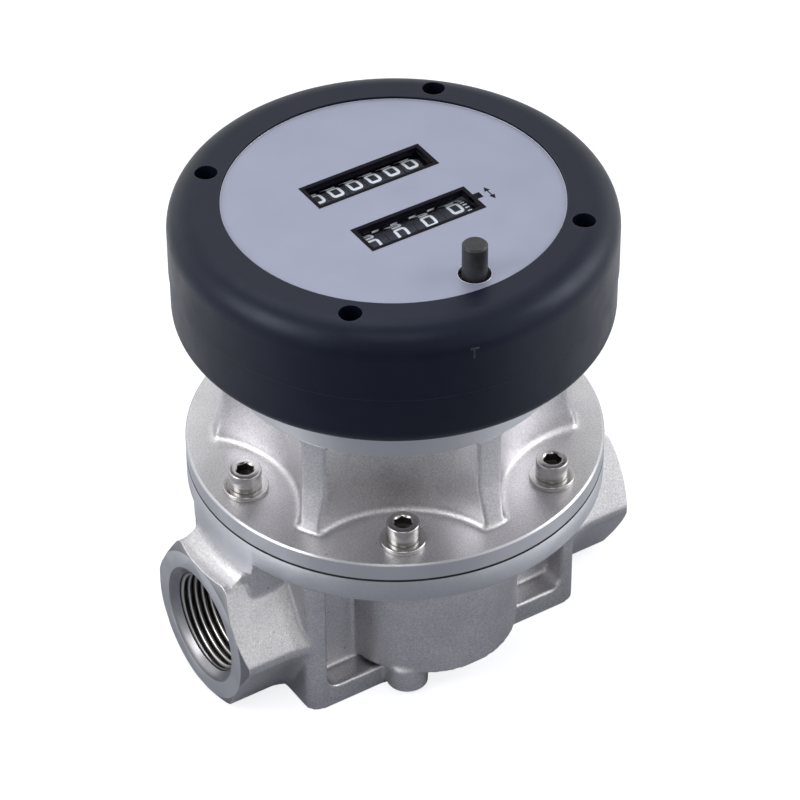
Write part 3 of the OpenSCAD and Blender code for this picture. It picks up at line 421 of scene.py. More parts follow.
# digit paint with a painted glow, so that the digits read brighter than the light on them makes them
digitWhitePaintedGlow = skin("digitWhitePaintedGlow", {
    "dark": (0.86, 0.87, 0.90), "light": (0.92, 0.93, 0.95), "rough": (0.45, 0.55), "glow": 0.22,
    "grain": 0.2, "relief": 0.1, "depth": 0.01, "edge": 0.05})
buttonGrey = skin("buttonGrey", {
    "dark": (0.018, 0.018, 0.022), "light": (0.05, 0.05, 0.056), "worn": (0.16, 0.16, 0.17),
    "rough": (0.34, 0.48), "specular": 0.3, "grain": 0.45, "speckle": 0.25, "edge": 0.3})
sealRubber = skin("sealRubber", {
    "dark": (0.012, 0.012, 0.012), "light": (0.022, 0.022, 0.022), "rough": (0.5, 0.65)})
gearAlloy = skin("gearAlloy", {
    "dark": (0.52, 0.53, 0.55), "light": (0.62, 0.63, 0.65), "worn": (0.75, 0.76, 0.78), "metal": 1,
    "rough": (0.3, 0.42), "relief": 0.25, "edge": 0.15})
carbonBush = skin("carbonBush", {
    "dark": (0.03, 0.03, 0.032), "light": (0.055, 0.055, 0.06), "rough": (0.4, 0.55), "grain": 0.25})
magnetNickel = skin("magnetNickel", {
    "dark": (0.55, 0.54, 0.52), "light": (0.66, 0.65, 0.63), "metal": 1, "rough": (0.14, 0.25),
    "grain": 0.5, "relief": 0.1, "depth": 0.01})
cutBrass = skin("cutBrass", {
    "dark": (0.60, 0.42, 0.17), "light": (0.74, 0.54, 0.24), "worn": (0.85, 0.66, 0.34), "metal": 1,
    "rough": (0.22, 0.36)})
zincPlate = skin("zincPlate", {
    "dark": (0.52, 0.53, 0.55), "light": (0.64, 0.65, 0.68), "worn": (0.75, 0.75, 0.77), "metal": 1,
    "rough": (0.28, 0.42), "grain": 0.6, "lump": 8, "edge": 0.15})


def clearPane():
    # thin clear sheet: see-through with a mirror that grows at a low angle, on its front faces only
    material = bpy.data.materials.new("clearPane")
    material.use_nodes = True
    tree = material.node_tree
    tree.nodes.remove(tree.nodes["Principled BSDF"])
    scratches = effect(tree, grain, Grain_mm=0.8, Lump_mm=6)
    bump = put(tree, "ShaderNodeBump", {"Strength": 0.05, "Distance": 0.01 * mm, "Height": scratches["Height"]})
    mirror = put(tree, "ShaderNodeBsdfGlossy", {"Roughness": 0.06, "Normal": bump.outputs["Normal"]})
    through = put(tree, "ShaderNodeBsdfTransparent", {"Color": (0.93, 0.95, 0.97, 1)})
    tilt = put(tree, "ShaderNodeFresnel", {"IOR": 1.45, "Normal": bump.outputs["Normal"]})
    back = put(tree, "ShaderNodeNewGeometry").outputs["Backfacing"]
    amount = sums(tree, "MULTIPLY", tilt.outputs[0], ranged(tree, back, 0.0, 1.0, 0.5, 0.0))
    mix = put(tree, "ShaderNodeMixShader", {0: amount, 1: through.outputs[0], 2: mirror.outputs[0]})
    tree.links.new(mix.outputs[0], tree.nodes["Material Output"].inputs["Surface"])
    return material


paneClear = clearPane()
print("finishes made,", len(bpy.data.materials), "materials")


# Finishes of the CAD pieces that stay as they are

cadPieces = [
    (sealRubber, ["cover_seal", "base_seal", "housing_seal"]),
    (gearAlloy, ["drive_oval_gear", "driven_oval_gear"]),
    (carbonBush, ["drive_gear_bush", "driven_gear_bush", "magnet_rotor"]),
    (magnetNickel, ["drive_magnets", "rotor_magnets"]),
    (cutBrass, ["spindle_bushes", "worm_wheel", "cross_gear", "idler_gear", "total_drive_gear",
                "reset_drive_gear"]),
    (zincPlate, ["movement_plate", "left_side_plate", "right_side_plate", "button_guide", "guide_cap"]),
    (polishedSteel, ["gear_shafts", "spindle", "movement_screws", "frame_pillars", "frame_screws",
                     "cross_shaft", "total_axle", "reset_axle", "base_screws", "button_spring"]),
    (headBlack, ["register_housing"]), (darkScrew, ["housing_screws"]), (plateSilver, ["faceplate"]),
    (frameBlack, ["window_frames"]), (paneClear, ["window_panes"]), (buttonGrey, ["reset_button"]),
    (wheelBlack, [label for label in nodes if "_wheel_" in label]),
]
for finish, labels in cadPieces:
    for label in labels:
        for slot in nodes[label].material_slots:
            slot.link = "OBJECT"
            slot.material = finish


# Castings: the rough casting with soft edges first, then every machined face cut into it.
# Cutters end well clear of the metal, at the heights and reaches called below, beyond and above.

def allowanceDisc(radius, low, foot, top, casting):
    # disc with the machining allowance on its rim, which hangs from low down to foot, and on its top
    spare, (inward, upward) = casting["allowance"], casting["rimStep"]
    return turned([(0, low + upward), (radius - inward, low + upward), (radius - inward, foot),
                   (radius + spare, foot), (radius + spare, top + spare), (0, top + spare)], 192)


def castBlank(node, extras, casting):
    piece = linked("blank", joined([nodes[node].data, *extras]))
    skinning = piece.modifiers.new("skin", "REMESH")
    skinning.mode = "VOXEL"
    skinning.voxel_size = casting["voxel"] * mm
    softening = piece.modifiers.new("soften", "SMOOTH")
    softening.factor = 0.5
    softening.iterations = casting["softening"]
    thinning = piece.modifiers.new("thin", "DECIMATE")
    thinning.ratio = casting["keep"]
    settle(piece)
    painted(piece.data, castSteel)
    return piece


def jointCutter(radius, level, drop, deep, clear=2):
    # small dark notch at the joint between the two flanges
    return turned([(radius - deep, level), (radius, level + drop), (radius + clear, level + drop),
                   (radius + clear, level - drop), (radius - deep, level - drop)], 256)


hair = 0.05    # least step between two surfaces that meet
bodyCast = {
    "voxel": 0.6, "softening": 10, "keep": 0.35, "allowance": 1.3, "rimStep": (0.4, 0.3), "fettle": 0.03,
    "portFace": 71.2, "hexRadius": 27.83, "hexStart": 60, "cornerRadius": 27.08, "faceBevel": (2.8, 1.5),
    "faceClear": (5, 2), "portHeight": 25.8, "boreRadius": 16.62, "boreEnd": 50.2, "mouthLead": 0.3,
    "mouth": ((16.3, 2.3), (17.6, 1.0), (18.9, 0)), "passageRadius": 14.6, "passageEnd": 25,
    "slot": (12, 26), "slotHalf": 11, "slotFloor": 17.01, "slotTop": 40.4,
    "flangeRadius": 64.2, "flangeLow": 57.7, "seam": 66.6, "joint": (0.4, 0.55),
    "rimDrop": 0.1, "rimRound": (1.3, 1.4), "rimBend": (0.35, 0.3), "rimClear": (3, 0.3),
    "neckIn": 58, "neckHalf": 17, "neckFoot": 54.9, "neckFillet": 5, "neckRoom": 0.2,
    "lugPlace": (-17, -33), "lugReach": 7.5, "lugFoot": 1.9, "blockSide": 29.45,
    "chamberRadius": 21.6, "chamberFloor": 17, "gearPlace": 16.5, "shaftRadius": 4, "seatFloor": 11,
    "groove": (42.4, 46.0, 63.9), "boltCircle": 53.3, "bolt": (3.15, 58.4),
    "below": -5, "beyond": 90, "above": 70,
}


def makeBody():
    s = bodyCast
    outer, seam, face, corner = (s[key] for key in ("flangeRadius", "seam", "portFace", "cornerRadius"))
    spare, below, beyond, above = (s[key] for key in ("allowance", "below", "beyond", "above"))
    rimLow = s["flangeLow"] - s["rimDrop"]
    lift = Matrix.Translation((0, 0, s["portHeight"] * mm))
    hexBars = []
    for side in (-1, 1):
        bar = linked("bar", alongX(rod(s["hexRadius"], s["hexStart"], face + 2 * spare, 6), side))
        bar.data.transform(Matrix.Rotation(math.pi / 6, 4, "X"))
        rounded = rod(corner, s["hexStart"], face + 2 * spare, 96)
        machine(bar, alongX(rounded, side), operation="INTERSECT")
        bar.data.transform(lift)
        hexBars.append(bar.data)
        bpy.data.objects.remove(bar)
    half, foot = s["neckHalf"], s["neckFoot"]
    necks = []
    for side in (-1, 1):
        near, far = sorted((side * s["neckIn"], side * (outer + spare)))
        necks.append(boxMesh((near, -half, foot), (far, half, s["flangeLow"] + 1)))
    disc = allowanceDisc(outer, s["flangeLow"], rimLow, seam, s)
    piece = castBlank("meter_body", [disc, *necks, *hexBars], s)

    near, fillet = outer + s["fettle"], s["neckFillet"]
    fettled = turned(softCorners([
        (0, below), (beyond, below), (beyond, foot - fillet), (near, foot - fillet + s["fettle"], fillet),
        (near, above), (0, above)], 12), 256)
    machine(piece, fettled, castSteel, "INTERSECT")
    envelope = turned([(0, below), (beyond, below), (beyond, foot - 2 * hair), (outer, foot - hair),
                       (outer, seam), (0, seam)], 256)
    machine(piece, envelope, rimSteel, "INTERSECT")

    # lower edge of the flange, broken all round but for the necks
    (inward, upward), (shareIn, shareUp), (clear, drop) = s["rimRound"], s["rimBend"], s["rimClear"]
    broken = linked("broken", turned([
        (outer - inward, rimLow - drop), (outer - shareIn * inward, rimLow + shareUp * upward),
        (outer + 2 * hair, rimLow + upward), (outer + clear, rimLow + upward),
        (outer + clear, rimLow - drop)], 256))
    machine(broken, boxMesh((-beyond, -half - s["neckRoom"], 0), (beyond, half + s["neckRoom"], beyond)))
    machine(piece, broken.data.copy(), castSteel)
    bpy.data.objects.remove(broken)
    for side in (-1, 1):
        x, y, reach = -side * s["lugPlace"][0], -side * s["lugPlace"][1], s["lugReach"]
        near, far = sorted((side * s["blockSide"], y + side * reach))
        machine(piece, boxMesh((x - reach, near, below), (x + reach, far, s["lugFoot"])), castSteel)
    machine(piece, jointCutter(outer, seam, -s["joint"][1], s["joint"][0]), jointDark)
    machine(piece, boxMesh((-face, -beyond, below), (face, beyond, beyond)), turnedSteel, "INTERSECT")

    (aside, ahead), (wide, long) = s["faceClear"], s["faceBevel"]
    mouthEnd = face - s["mouth"][0][1] - s["mouthLead"]
    port = turned([(0, s["passageEnd"]), (s["passageRadius"], s["passageEnd"]),
                   (s["passageRadius"], s["boreEnd"]), (s["boreRadius"], s["boreEnd"]),
                   (s["boreRadius"], mouthEnd), *[(radius, face - deep) for radius, deep in s["mouth"]],
                   (s["mouth"][-1][0], face + ahead), (0, face + ahead)], 160)
    bevel = turned([(corner - wide, face), (corner, face - long), (corner + aside, face - long),
                    (corner + aside, face + ahead), (corner - wide, face + ahead)], 128)
    for side in (-1, 1):
        for tool in (port, bevel):
            cutter = alongX(tool, side)
            cutter.transform(lift)
            # port, mouth and face bevel take the port steel with its painted shade
            machine(piece, cutter, faceSteelPaintedShade)
        chamber = turned([(0, s["seatFloor"]), (s["shaftRadius"], s["seatFloor"]),
                          (s["shaftRadius"], s["chamberFloor"]), (s["chamberRadius"], s["chamberFloor"]),
                          (s["chamberRadius"], above), (0, above)], 160, (0, side * s["gearPlace"]))
        machine(piece, chamber, turnedSteel)
        near, far = sorted(side * reach for reach in s["slot"])
        machine(piece, boxMesh((near, -s["slotHalf"], s["slotFloor"]), (far, s["slotHalf"], s["slotTop"])),
                turnedSteel)
    machine(piece, squareRing(*s["groove"], above), turnedSteel)
    machine(piece, joined(onCircle(rod(*s["bolt"], above, 32), 6, 0, s["boltCircle"])), turnedSteel)
    piece.name = "body_casting"
    finishPiece(piece, "meter", ["meter_body"])


coverCast = {
    "voxel": 0.6, "softening": 6, "keep": 0.5, "allowance": 1.3, "rimStep": (0.4, 0.3), "fettle": 0.03,
    "flangeRadius": 64.2, "seam": 66.6, "flangeTop": 72.6, "chamfer": 0.5, "chamferRun": 4, "joint": (0.3, 0.3),
    "towerRadius": 52.4, "ringLow": 104.8, "ringDrop": 0.35, "fettleLow": 90, "towerTop": 119.4,
    "edgeBreak": 0.3, "gearPlace": 16.5, "plug": (21.45, 52, 68.6), "shaftSeat": (4.05, 50, 54.5),
    "cavityRadius": 30, "cavityFloor": 74.6, "ledgeRadius": 36, "ledge": 114.4,
    "wellRadius": 12.6, "wellFloor": 57.5, "bushRadius": 4, "bushFloor": 56,
    "boltCircle": 53.3, "bolt": (3.3, 60, 80), "plateScrewAt": 33, "plateScrew": (1.55, 106.4, 118),
    "baseScrewAt": 44, "baseScrew": (2.05, 109.4, 130), "groove": (47.85, 50.15, 117.7),
    "clear": 5, "above": 130,
}


def makeCover():
    s = coverCast
    outer, tower, seam, top = (s[key] for key in ("flangeRadius", "towerRadius", "seam", "towerTop"))
    spare, edge, clear, above = (s[key] for key in ("allowance", "edgeBreak", "clear", "above"))
    ringFoot = s["ringLow"] - s["ringDrop"]
    flange = rod(outer + spare, seam - spare, s["flangeTop"], 192)
    piece = castBlank("meter_cover", [flange, allowanceDisc(tower, s["ringLow"], ringFoot, top, s)], s)
    near, low = tower + s["fettle"], s["fettleLow"]
    fettled = turned([(0, seam - clear), (outer + clear, seam - clear), (outer + clear, low), (near, low),
                      (near, top + clear), (0, top + clear)], 256)
    machine(piece, fettled, castSteel, "INTERSECT")
    shoulder, run = s["flangeTop"] - s["chamfer"], s["chamferRun"]
    envelope = turned([
        (0, seam), (outer, seam), (outer, shoulder), (outer - run, shoulder + run),
        (outer - run, ringFoot - 2 * hair), (tower, ringFoot - hair), (tower, top - edge),
        (tower - edge, top), (0, top)], 256)
    machine(piece, envelope, turnedSteel, "INTERSECT")
    machine(piece, jointCutter(outer, seam, s["joint"][1], s["joint"][0]), jointDark)
    for side in (-1, 1):
        machine(piece, rod(*s["plug"], 160, (0, side * s["gearPlace"])), turnedSteel, "UNION")
    cavity = turned([(0, s["cavityFloor"]), (s["cavityRadius"], s["cavityFloor"]),
                     (s["cavityRadius"], s["ledge"]), (s["ledgeRadius"], s["ledge"]),
                     (s["ledgeRadius"], above), (0, above)], 160)
    well = turned([(0, s["bushFloor"]), (s["bushRadius"], s["bushFloor"]), (s["bushRadius"], s["wellFloor"]),
                   (s["wellRadius"], s["wellFloor"]), (s["wellRadius"], s["cavityFloor"] + 1),
                   (0, s["cavityFloor"] + 1)], 96, (0, -s["gearPlace"]))
    seats = joined([rod(*s["shaftSeat"], 48, (0, side * s["gearPlace"])) for side in (-1, 1)])
    holes = joined(onCircle(rod(*s["bolt"], 32), 6, 0, s["boltCircle"])
                   + onCircle(rod(*s["plateScrew"], 16), 3, 60, s["plateScrewAt"])
                   + onCircle(rod(*s["baseScrew"], 16), 4, 30, s["baseScrewAt"]))
    for tool in (cavity, well, seats, holes, squareRing(*s["groove"], above)):
        machine(piece, tool, turnedSteel)
    piece.name = "cover_casting"
    finishPiece(piece, "meter", ["meter_cover"])


# Pipe thread in both ports, as a thin threaded lining of the bore

portThread = {"pitch": 2.309, "major": 16.62, "minor": 15.15, "sharpness": 0.8, "start": 68.8, "end": 50.4,
              "wall": 0.3, "perPitch": 12, "around": 120, "height": 25.8, "lead": 2.5}


def threadMesh(side):
    s = portThread
    shape = bmesh.new()

    def rimAt(x, radii):
        turns = [math.tau * k / s["around"] for k in range(s["around"])]
        return [shape.verts.new((side * x * mm, r * math.cos(t) * mm, (s["height"] + r * math.sin(t)) * mm))
                for r, t in zip(radii, turns)]

    rows = int((s["start"] - s["end"]) / s["pitch"] * s["perPitch"])
    wide = [s["major"] + s["wall"]] * s["around"]
    inner, outer = [], []
    for n in range(rows + 1):
        x = s["start"] - (s["start"] - s["end"]) * n / rows
        radii = []
        for k in range(s["around"]):
            phase = (side * x / s["pitch"] - k / s["around"]) % 1
            ridge = 0.5 - 0.5 * math.cos(math.tau * phase)
            radius = s["major"] - (s["major"] - s["minor"]) * ridge ** s["sharpness"]
            radii.append(max(radius, s["major"] - (s["start"] - x) * s["lead"]))
        inner.append(rimAt(x, radii))
        if n in (0, rows):
            outer.append(rimAt(x, wide))
    loops = [outer[0], *inner, outer[1]]
    for low, high in zip(loops, loops[1:] + loops[:1]):
        for k in range(s["around"]):
            m = (k + 1) % s["around"]
            shape.faces.new((low[k], low[m], high[m], high[k]))
    return meshOf(shape, "thread")


def makeThreads():
    mesh = painted(joined([threadMesh(-1), threadMesh(1)], "port_threads"), threadSteelPaintedShade)
    finishPiece(linked("port_threads", mesh), "meter", sharp=60)


# Cover screws and washers

capScrew = {"shank": 3, "point": (0.5, 0.6), "foot": 59.4, "seat": 74.2, "head": 5, "top": 80.2, "crown": 0.55,
            "key": 2.9, "keyDepth": 3, "keyPoint": 0.8, "funnelFoot": (-0.35, -0.45), "funnelTop": (0.25, 0.05),
            "circle": 53.3, "keyTurns": (12, 40, 22, 50, 5, 33)}
washer = {"low": 72.6, "high": 74.2, "inner": 3.2, "outer": 7, "round": 0.45, "edge": 0.2}


def makeScrews():
    s = capScrew
    shank, foot, seat, top, key = (s[name] for name in ("shank", "foot", "seat", "top", "key"))
    (footOut, footUp), (topOut, topUp) = s["funnelFoot"], s["funnelTop"]
    heads = []
    for k, turn in enumerate(s["keyTurns"]):
        head = turned(softCorners([
            (0, foot), (shank - s["point"][0], foot), (shank, foot + s["point"][1]), (shank, seat),
            (s["head"], seat, 0.25), (s["head"], top, s["crown"]), (key + 0.35, top, 0.15),
            (0, top - 0.02)]), 96)
        piece = linked("screw", painted(head, polishedSteel))
        socket = turned([(0, top - s["keyDepth"] - s["keyPoint"]), (key, top - s["keyDepth"]), (key, top + 1),
                         (0, top + 1)], 6)
        socket.transform(Matrix.Rotation(math.radians(turn), 4, "Z"))
        # the socket's faces take the painted shade
        machine(piece, socket, socketPaintedShade)
        funnel = turned([(0, top + footUp), (key + footOut, top + footUp), (key + topOut, top + topUp),
                         (0, top + topUp)], 48)
        machine(piece, funnel, polishedSteel)
        heads.append(onCircle(piece.data, 1, k * 60, s["circle"])[0])
        bpy.data.objects.remove(piece)
    mesh = joined(heads, "cap_screws")
    mesh.materials.append(polishedSteel)
    mesh.materials.append(socketPaintedShade)
    finishPiece(linked("cap_screws", mesh), "meter", ["cover_screws"], 32)
    w = washer
    disc = turned(softCorners([(w["inner"], w["low"]), (w["outer"], w["low"], w["edge"]),
                               (w["outer"], w["high"], w["round"]), (w["inner"], w["high"], w["edge"])]), 96)
    mesh = painted(joined(onCircle(disc, 6, 0, s["circle"]), "flat_washers"), polishedSteel)
    finishPiece(linked("flat_washers", mesh), "meter", ["cover_washers"], 50)


# Digits of the number wheels, raised a hair on the rim

digit = {"wide": 4.2, "tall": 5.2, "stroke": 0.95, "lift": 0.05, "sink": 0.15, "bend": 0.75, "bendSteps": 5,
         "straight": 0.48, "piece": 0.4, "tickIn": 2.1, "tickLong": 1.4, "tickShare": 0.5, "ticks": 40}
strokes = {
    0: [((0, 0), (0, 1), (1, 1), (1, 0))],
    1: [((0.22, 0.76), (0.55, 1), (0.55, 0))],
    2: [((0, 0.78), (0, 1), (1, 1), (1, 0.56), (0, 0.02), (1, 0.02))],
    3: [((0, 0.84), (0, 1), (1, 1), (1, 0.53), (0.4, 0.53)),
        ((0.4, 0.53), (1, 0.53), (1, 0), (0, 0), (0, 0.16))],
    4: [((0.74, 0), (0.74, 1), (0, 0.28), (1, 0.28))],
    5: [((0.94, 1), (0.1, 1), (0.04, 0.56), (1, 0.56), (1, 0), (0, 0), (0, 0.16))],
    6: [((0.92, 1), (0, 1), (0, 0), (1, 0), (1, 0.56), (0.05, 0.56))],
    7: [((0, 1), (1, 1), (0.36, 0))],
    8: [((0, 0), (0, 0.53), (1, 0.53), (1, 0)), ((0.07, 0.53), (0.07, 1), (0.93, 1), (0.93, 0.53))],
    9: [((0.08, 0), (1, 0), (1, 1), (0, 1), (0, 0.44), (0.95, 0.44))],
}
closedLoops = {(0, 0), (8, 0), (8, 1)}    # digit and stroke


def strokePath(points, closed):
    # rounds the bends of a stroke and cuts its straights short enough to follow the rim
    s = digit
    spanX, spanY = s["wide"] - s["stroke"], s["tall"] - s["stroke"]
    corners = [Vector(((x - 0.5) * spanX, (y - 0.5) * spanY)) for x, y in points]
    path = []
    for n, here in enumerate(corners):
        if not closed and n in (0, len(corners) - 1):
            path.append(here)
            continue
        before, after = corners[n - 1] - here, corners[(n + 1) % len(corners)] - here
        slope = math.tan(before.angle(after) / 2)
        reach = min(s["bend"] / slope, s["straight"] * before.length, s["straight"] * after.length)
        path += arcAt(here, before, after, reach * slope, s["bendSteps"])
    if closed:
        path.append(path[0])
    fine = [path[0]]
    for target in path[1:]:
        start = fine[-1]
        parts = max(1, math.ceil((target - start).length / s["piece"]))
        fine += [start.lerp(target, (k + 1) / parts) for k in range(parts)]
    return fine[:-1] if closed else fine


def addStroke(shape, path, closed, wrap, share=1):
    # a band of one width along the path, wrapped on the rim as a thin solid
    half = digit["stroke"] / 2 * share
    rows = []
    for n, here in enumerate(path):
        before = path[n - 1] if n or closed else here
        after = path[(n + 1) % len(path)] if n < len(path) - 1 or closed else here
        run = (after - before).normalized()
        side = Vector((-run.y, run.x)) * half
        rows.append([shape.verts.new(wrap(p, lift)) for p, lift in
                     ((here + side, digit["lift"]), (here - side, digit["lift"]),
                      (here - side, -digit["sink"]), (here + side, -digit["sink"]))])
    pairs = list(zip(rows, rows[1:] + rows[:1])) if closed else list(zip(rows, rows[1:]))
    for low, high in pairs:
        for k in range(4):
            m = (k + 1) % 4
            shape.faces.new((low[k], low[m], high[m], high[k]))
    if not closed:
        shape.faces.new(rows[0])
        shape.faces.new(rows[-1][::-1])


def wheelPrint(node, shiftDegrees, ticks):
    low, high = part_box(node)
    middle, radius = (low + high) / 2, (high.z - low.z) / 2
    shape = bmesh.new()

    def wrapAt(angle):
        def wrap(point, lift):
            turn = angle + point.y * mm / radius
            reach = radius + lift * mm
            return middle.x + point.x * mm, middle.y + reach * math.sin(turn), middle.z + reach * math.cos(turn)
        return wrap

    for value, paths in strokes.items():
        angle = math.radians(shiftDegrees - 36 * value)
        for n, points in enumerate(paths):
            closed = (value, n) in closedLoops
            addStroke(shape, strokePath(points, closed), closed, wrapAt(angle))
    edge = (high.x - middle.x) / mm
    for k in range(ticks):
        angle = math.radians(shiftDegrees + 360 * k / ticks)
        start = Vector((edge - digit["tickIn"], 0))
        tick = [start, start + Vector((digit["tickLong"], 0))]
        addStroke(shape, tick, False, wrapAt(angle), digit["tickShare"])
    name = node.replace("wheel", "digits")
    piece = linked(name, painted(meshOf(shape, name), digitWhitePaintedGlow))
    finishPiece(piece, node.replace("wheel_1", "units").replace("wheel", "place"))


# How far each wheel stands past a whole digit, in degrees
wheelShift = {"total": 6.5, "reset_wheel_1": 4, "reset_wheel_2": -1.5, "reset_wheel_3": -7,
              "reset_wheel_4": -10}


def makeDigits():
    for label in sorted(nodes):
        if "_wheel_" in label:
            shift = wheelShift.get(label, wheelShift["total"])
            wheelPrint(label, shift, digit["ticks"] if label == "reset_wheel_1" else 0)


# Lower shell of the head: the CAD shell with the fuller rounded foot of the photograph

lowerShell = {"foot": 66.45, "footEdge": 5.0, "low": 119.4, "top": 66.54, "parting": 137, "weld": 0.002,
              "inside": ((65.9, 137), (65.9, 135.5), (63.6, 133.5), (61.6, 119.4))}


def makeShell():
    s = lowerShell
    shape = bmesh.new()
    shape.from_mesh(nodes["register_base"].data)
    bmesh.ops.remove_doubles(shape, verts=shape.verts, dist=s["weld"] * mm)
    piece = linked("lower_shell", meshOf(shape, "lower_shell"))
    band = softCorners([(s["foot"], s["low"], s["footEdge"]), (s["top"], s["parting"]), *s["inside"]], 8)
    machine(piece, turned(band, 256), operation="UNION")
    painted(piece.data, headBlack)
    finishPiece(piece, "meter", ["register_base"])


# Trim of the head: black lining of the windows, a painted highlight on the edges of the plate, marks of the
# mould

headTrim = {
    "bezelWide": 1.3, "bezelLow": 157.9, "bezelTop": 159.13, "notch": (20.5, -13.6, 22.6, -11.0),
    "notchTop": 159.14, "totalWindow": (0, 13.3, 41.8, 11.9), "resetWindow": (0.8, -12.3, 39.4, 12.3),
    "arrow": (25.1, -13.0), "arrowTall": 6.4, "arrowLine": 0.4, "arrowHead": (1.9, 2.0), "print": (-0.05, 0.03),
    "plateRadius": 50.85, "plateTop": 159.1, "edgeLine": 0.16, "buttonPlace": (0, -43), "buttonHole": 4.85,
    "partingRadius": 66.62, "parting": 137, "partingLine": 0.14,
    "markAngle": -102.7, "markHeight": 149.4, "markRadius": 66.75, "markSkin": (-0.4, 0.04),
    "markBars": ((0, 3.2, 0.5, 0), (3.0, 3.6, 2.6, 0.2)),    # low, high, width and shift
}


def windowBezel(window):
    x, y, long, wide = window
    s = headTrim
    thick, low, top = s["bezelWide"], s["bezelLow"], s["bezelTop"]
    bars = []
    for side in (-1, 1):
        near, far = sorted((side * long / 2, side * (long / 2 - thick)))
        bars.append(boxMesh((x + near, y - wide / 2, low), (x + far, y + wide / 2, top)))
        near, far = sorted((side * wide / 2, side * (wide / 2 - thick)))
        bars.append(boxMesh((x - long / 2 + thick, y + near, low), (x + long / 2 - thick, y + far, top)))
    return bars


def arrowMesh():
    # plain double arrow printed beside the tick marks
    s = headTrim
    x, y = s["arrow"]
    half, line = s["arrowTall"] / 2, s["arrowLine"] / 2
    wide, long = s["arrowHead"][0] / 2, s["arrowHead"][1]
    outline = [(line, long - half), (line, half - long), (wide, half - long), (0, half),
               (-wide, half - long), (-line, half - long), (-line, long - half), (-wide, long - half),
               (0, -half), (wide, long - half)]
    shape = bmesh.new()
    rows = [[shape.verts.new(((x + px) * mm, (y + py) * mm, (s["plateTop"] + lift) * mm)) for px, py in outline]
            for lift in s["print"]]
    shape.faces.new(rows[0][::-1])
    shape.faces.new(rows[1])
    for k in range(len(outline)):
        m = (k + 1) % len(outline)
        shape.faces.new((rows[0][k], rows[0][m], rows[1][m], rows[1][k]))
    return meshOf(shape, "plate_arrow")


def makeTrim():
    s = headTrim

    def trim(name, mesh, finish):
        finishPiece(linked(name, painted(mesh, finish)), "meter")

    x0, y0, x1, y1 = s["notch"]
    notch = boxMesh((x0 - s["bezelWide"], y0, s["bezelLow"]), (x1, y1, s["notchTop"]))
    bezels = joined([*windowBezel(s["totalWindow"]), *windowBezel(s["resetWindow"]), notch], "window_bezels")
    trim("window_bezels", bezels, frameBlack)
    trim("plate_arrow", arrowMesh(), frameBlack)
    # small bevel rings on the plate's outer edge and round the button hole, painted bright as a highlight
    line, top = s["edgeLine"], s["plateTop"]
    edges = []
    for radius, place, side in ((s["plateRadius"], (0, 0), -1), (s["buttonHole"], s["buttonPlace"], 1)):
        edges.append(turned([
            (radius, top - line), (radius + side * line, top - line), (radius + side * line, top),
            (radius + side * line / 2, top + line / 3), (radius, top - line / 3)], 192, place))
    trim("plate_edge_highlights", joined(edges, "plate_edge_highlights"), paintedEdgeHighlight)
    # a faint light line along the parting of the head, and the moulded marks on the side of the head
    radius, line, level = s["partingRadius"], s["partingLine"], s["parting"]
    marks = [turned([(radius - line, level - line), (radius, level), (radius - line, level + line)], 256)]
    inside, outside = (s["markRadius"] + depth for depth in s["markSkin"])
    for low, high, wide, shift in s["markBars"]:
        bar = boxMesh((inside, -wide / 2 + shift, s["markHeight"] + low),
                      (outside, wide / 2 + shift, s["markHeight"] + high))
        bar.transform(Matrix.Rotation(math.radians(s["markAngle"]), 4, "Z"))
        marks.append(bar)
    trim("mould_lines", joined(marks, "mould_lines"), mottledGreyBlack)


makeBody()
print("body casting machined")
makeCover()
print("cover casting machined")
makeThreads()
makeScrews()
makeDigits()
makeShell()
makeTrim()
print("threads, screws, digits, lower shell and trim made")


# Studio: a table that looks white to the camera and grey to mirrors near the meter, where a painted shadow
# fades its glow, a sky that is brighter at the sides than in front, soft lamps, and the camera of the
# photograph

studio = {
    "azimuth": -32.5, "elevation": 39.264, "roll": 0.30, "lens": 175.99, "sensor": 36, "clip": (0.05, 20),
    "unit": 51, "shift": (0.031436, -1.156226, -22.42014), "lampAim": (0, 0, 0.08),
    "table": (0.43, 0.44, 0.49), "tableRough": 0.9, "tableGlow": 0.80, "tableMirror": 0.68,
    "paintedShadowReach": (0.10, 0.26), "mirrorAside": (0.85, 0.45),
    "frontWay": (-0.537, -0.843, 0), "sideWay": (0.843, -0.537, 0), "worldLight": 0.32,
    "skyBehind": 0.95, "skyFront": 0.42, "skySides": 1.2, "skyTurn": (-0.3, 0.4), "skyAside": (0.3, 0.75),
}
lamps = {
    "keyLeft": {"at": (-0.8, 0.1, 0.6), "size": 0.5, "power": 3.4},
    "fillRight": {"at": (0.75, -0.35, 0.5), "size": 0.5, "power": 3.2},
    "topSoft": {"at": (0.0, 0.35, 0.95), "size": 0.6, "power": 1.5},
    "frontHigh": {"at": (-0.28, -0.44, 0.97), "size": 0.4, "power": 1.0},
}


def placeCamera():
    s = studio
    turn, tilt, roll = (math.radians(s[key]) for key in ("azimuth", "elevation", "roll"))
    right = Vector((math.cos(turn), math.sin(turn), 0))
    ahead = Vector((-math.sin(turn) * math.cos(tilt), math.cos(turn) * math.cos(tilt), -math.sin(tilt)))
    up = right.cross(ahead)
    face = Vector((0, 0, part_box("faceplate")[1].z))
    steps = s["shift"]
    place = face + (right * steps[0] + up * steps[1] + ahead * steps[2]) * s["unit"] * mm
    frameX = right * math.cos(roll) - up * math.sin(roll)
    frameY = right * math.sin(roll) + up * math.cos(roll)
    lens = bpy.data.cameras.new("photoCamera")
    lens.sensor_width, lens.lens = s["sensor"], s["lens"]
    lens.clip_start, lens.clip_end = s["clip"]
    camera = linked("photoCamera", lens)
    camera.matrix_world = Matrix.Translation(place) @ Matrix((frameX, frameY, -ahead)).transposed().to_4x4()
    bpy.context.scene.camera = camera


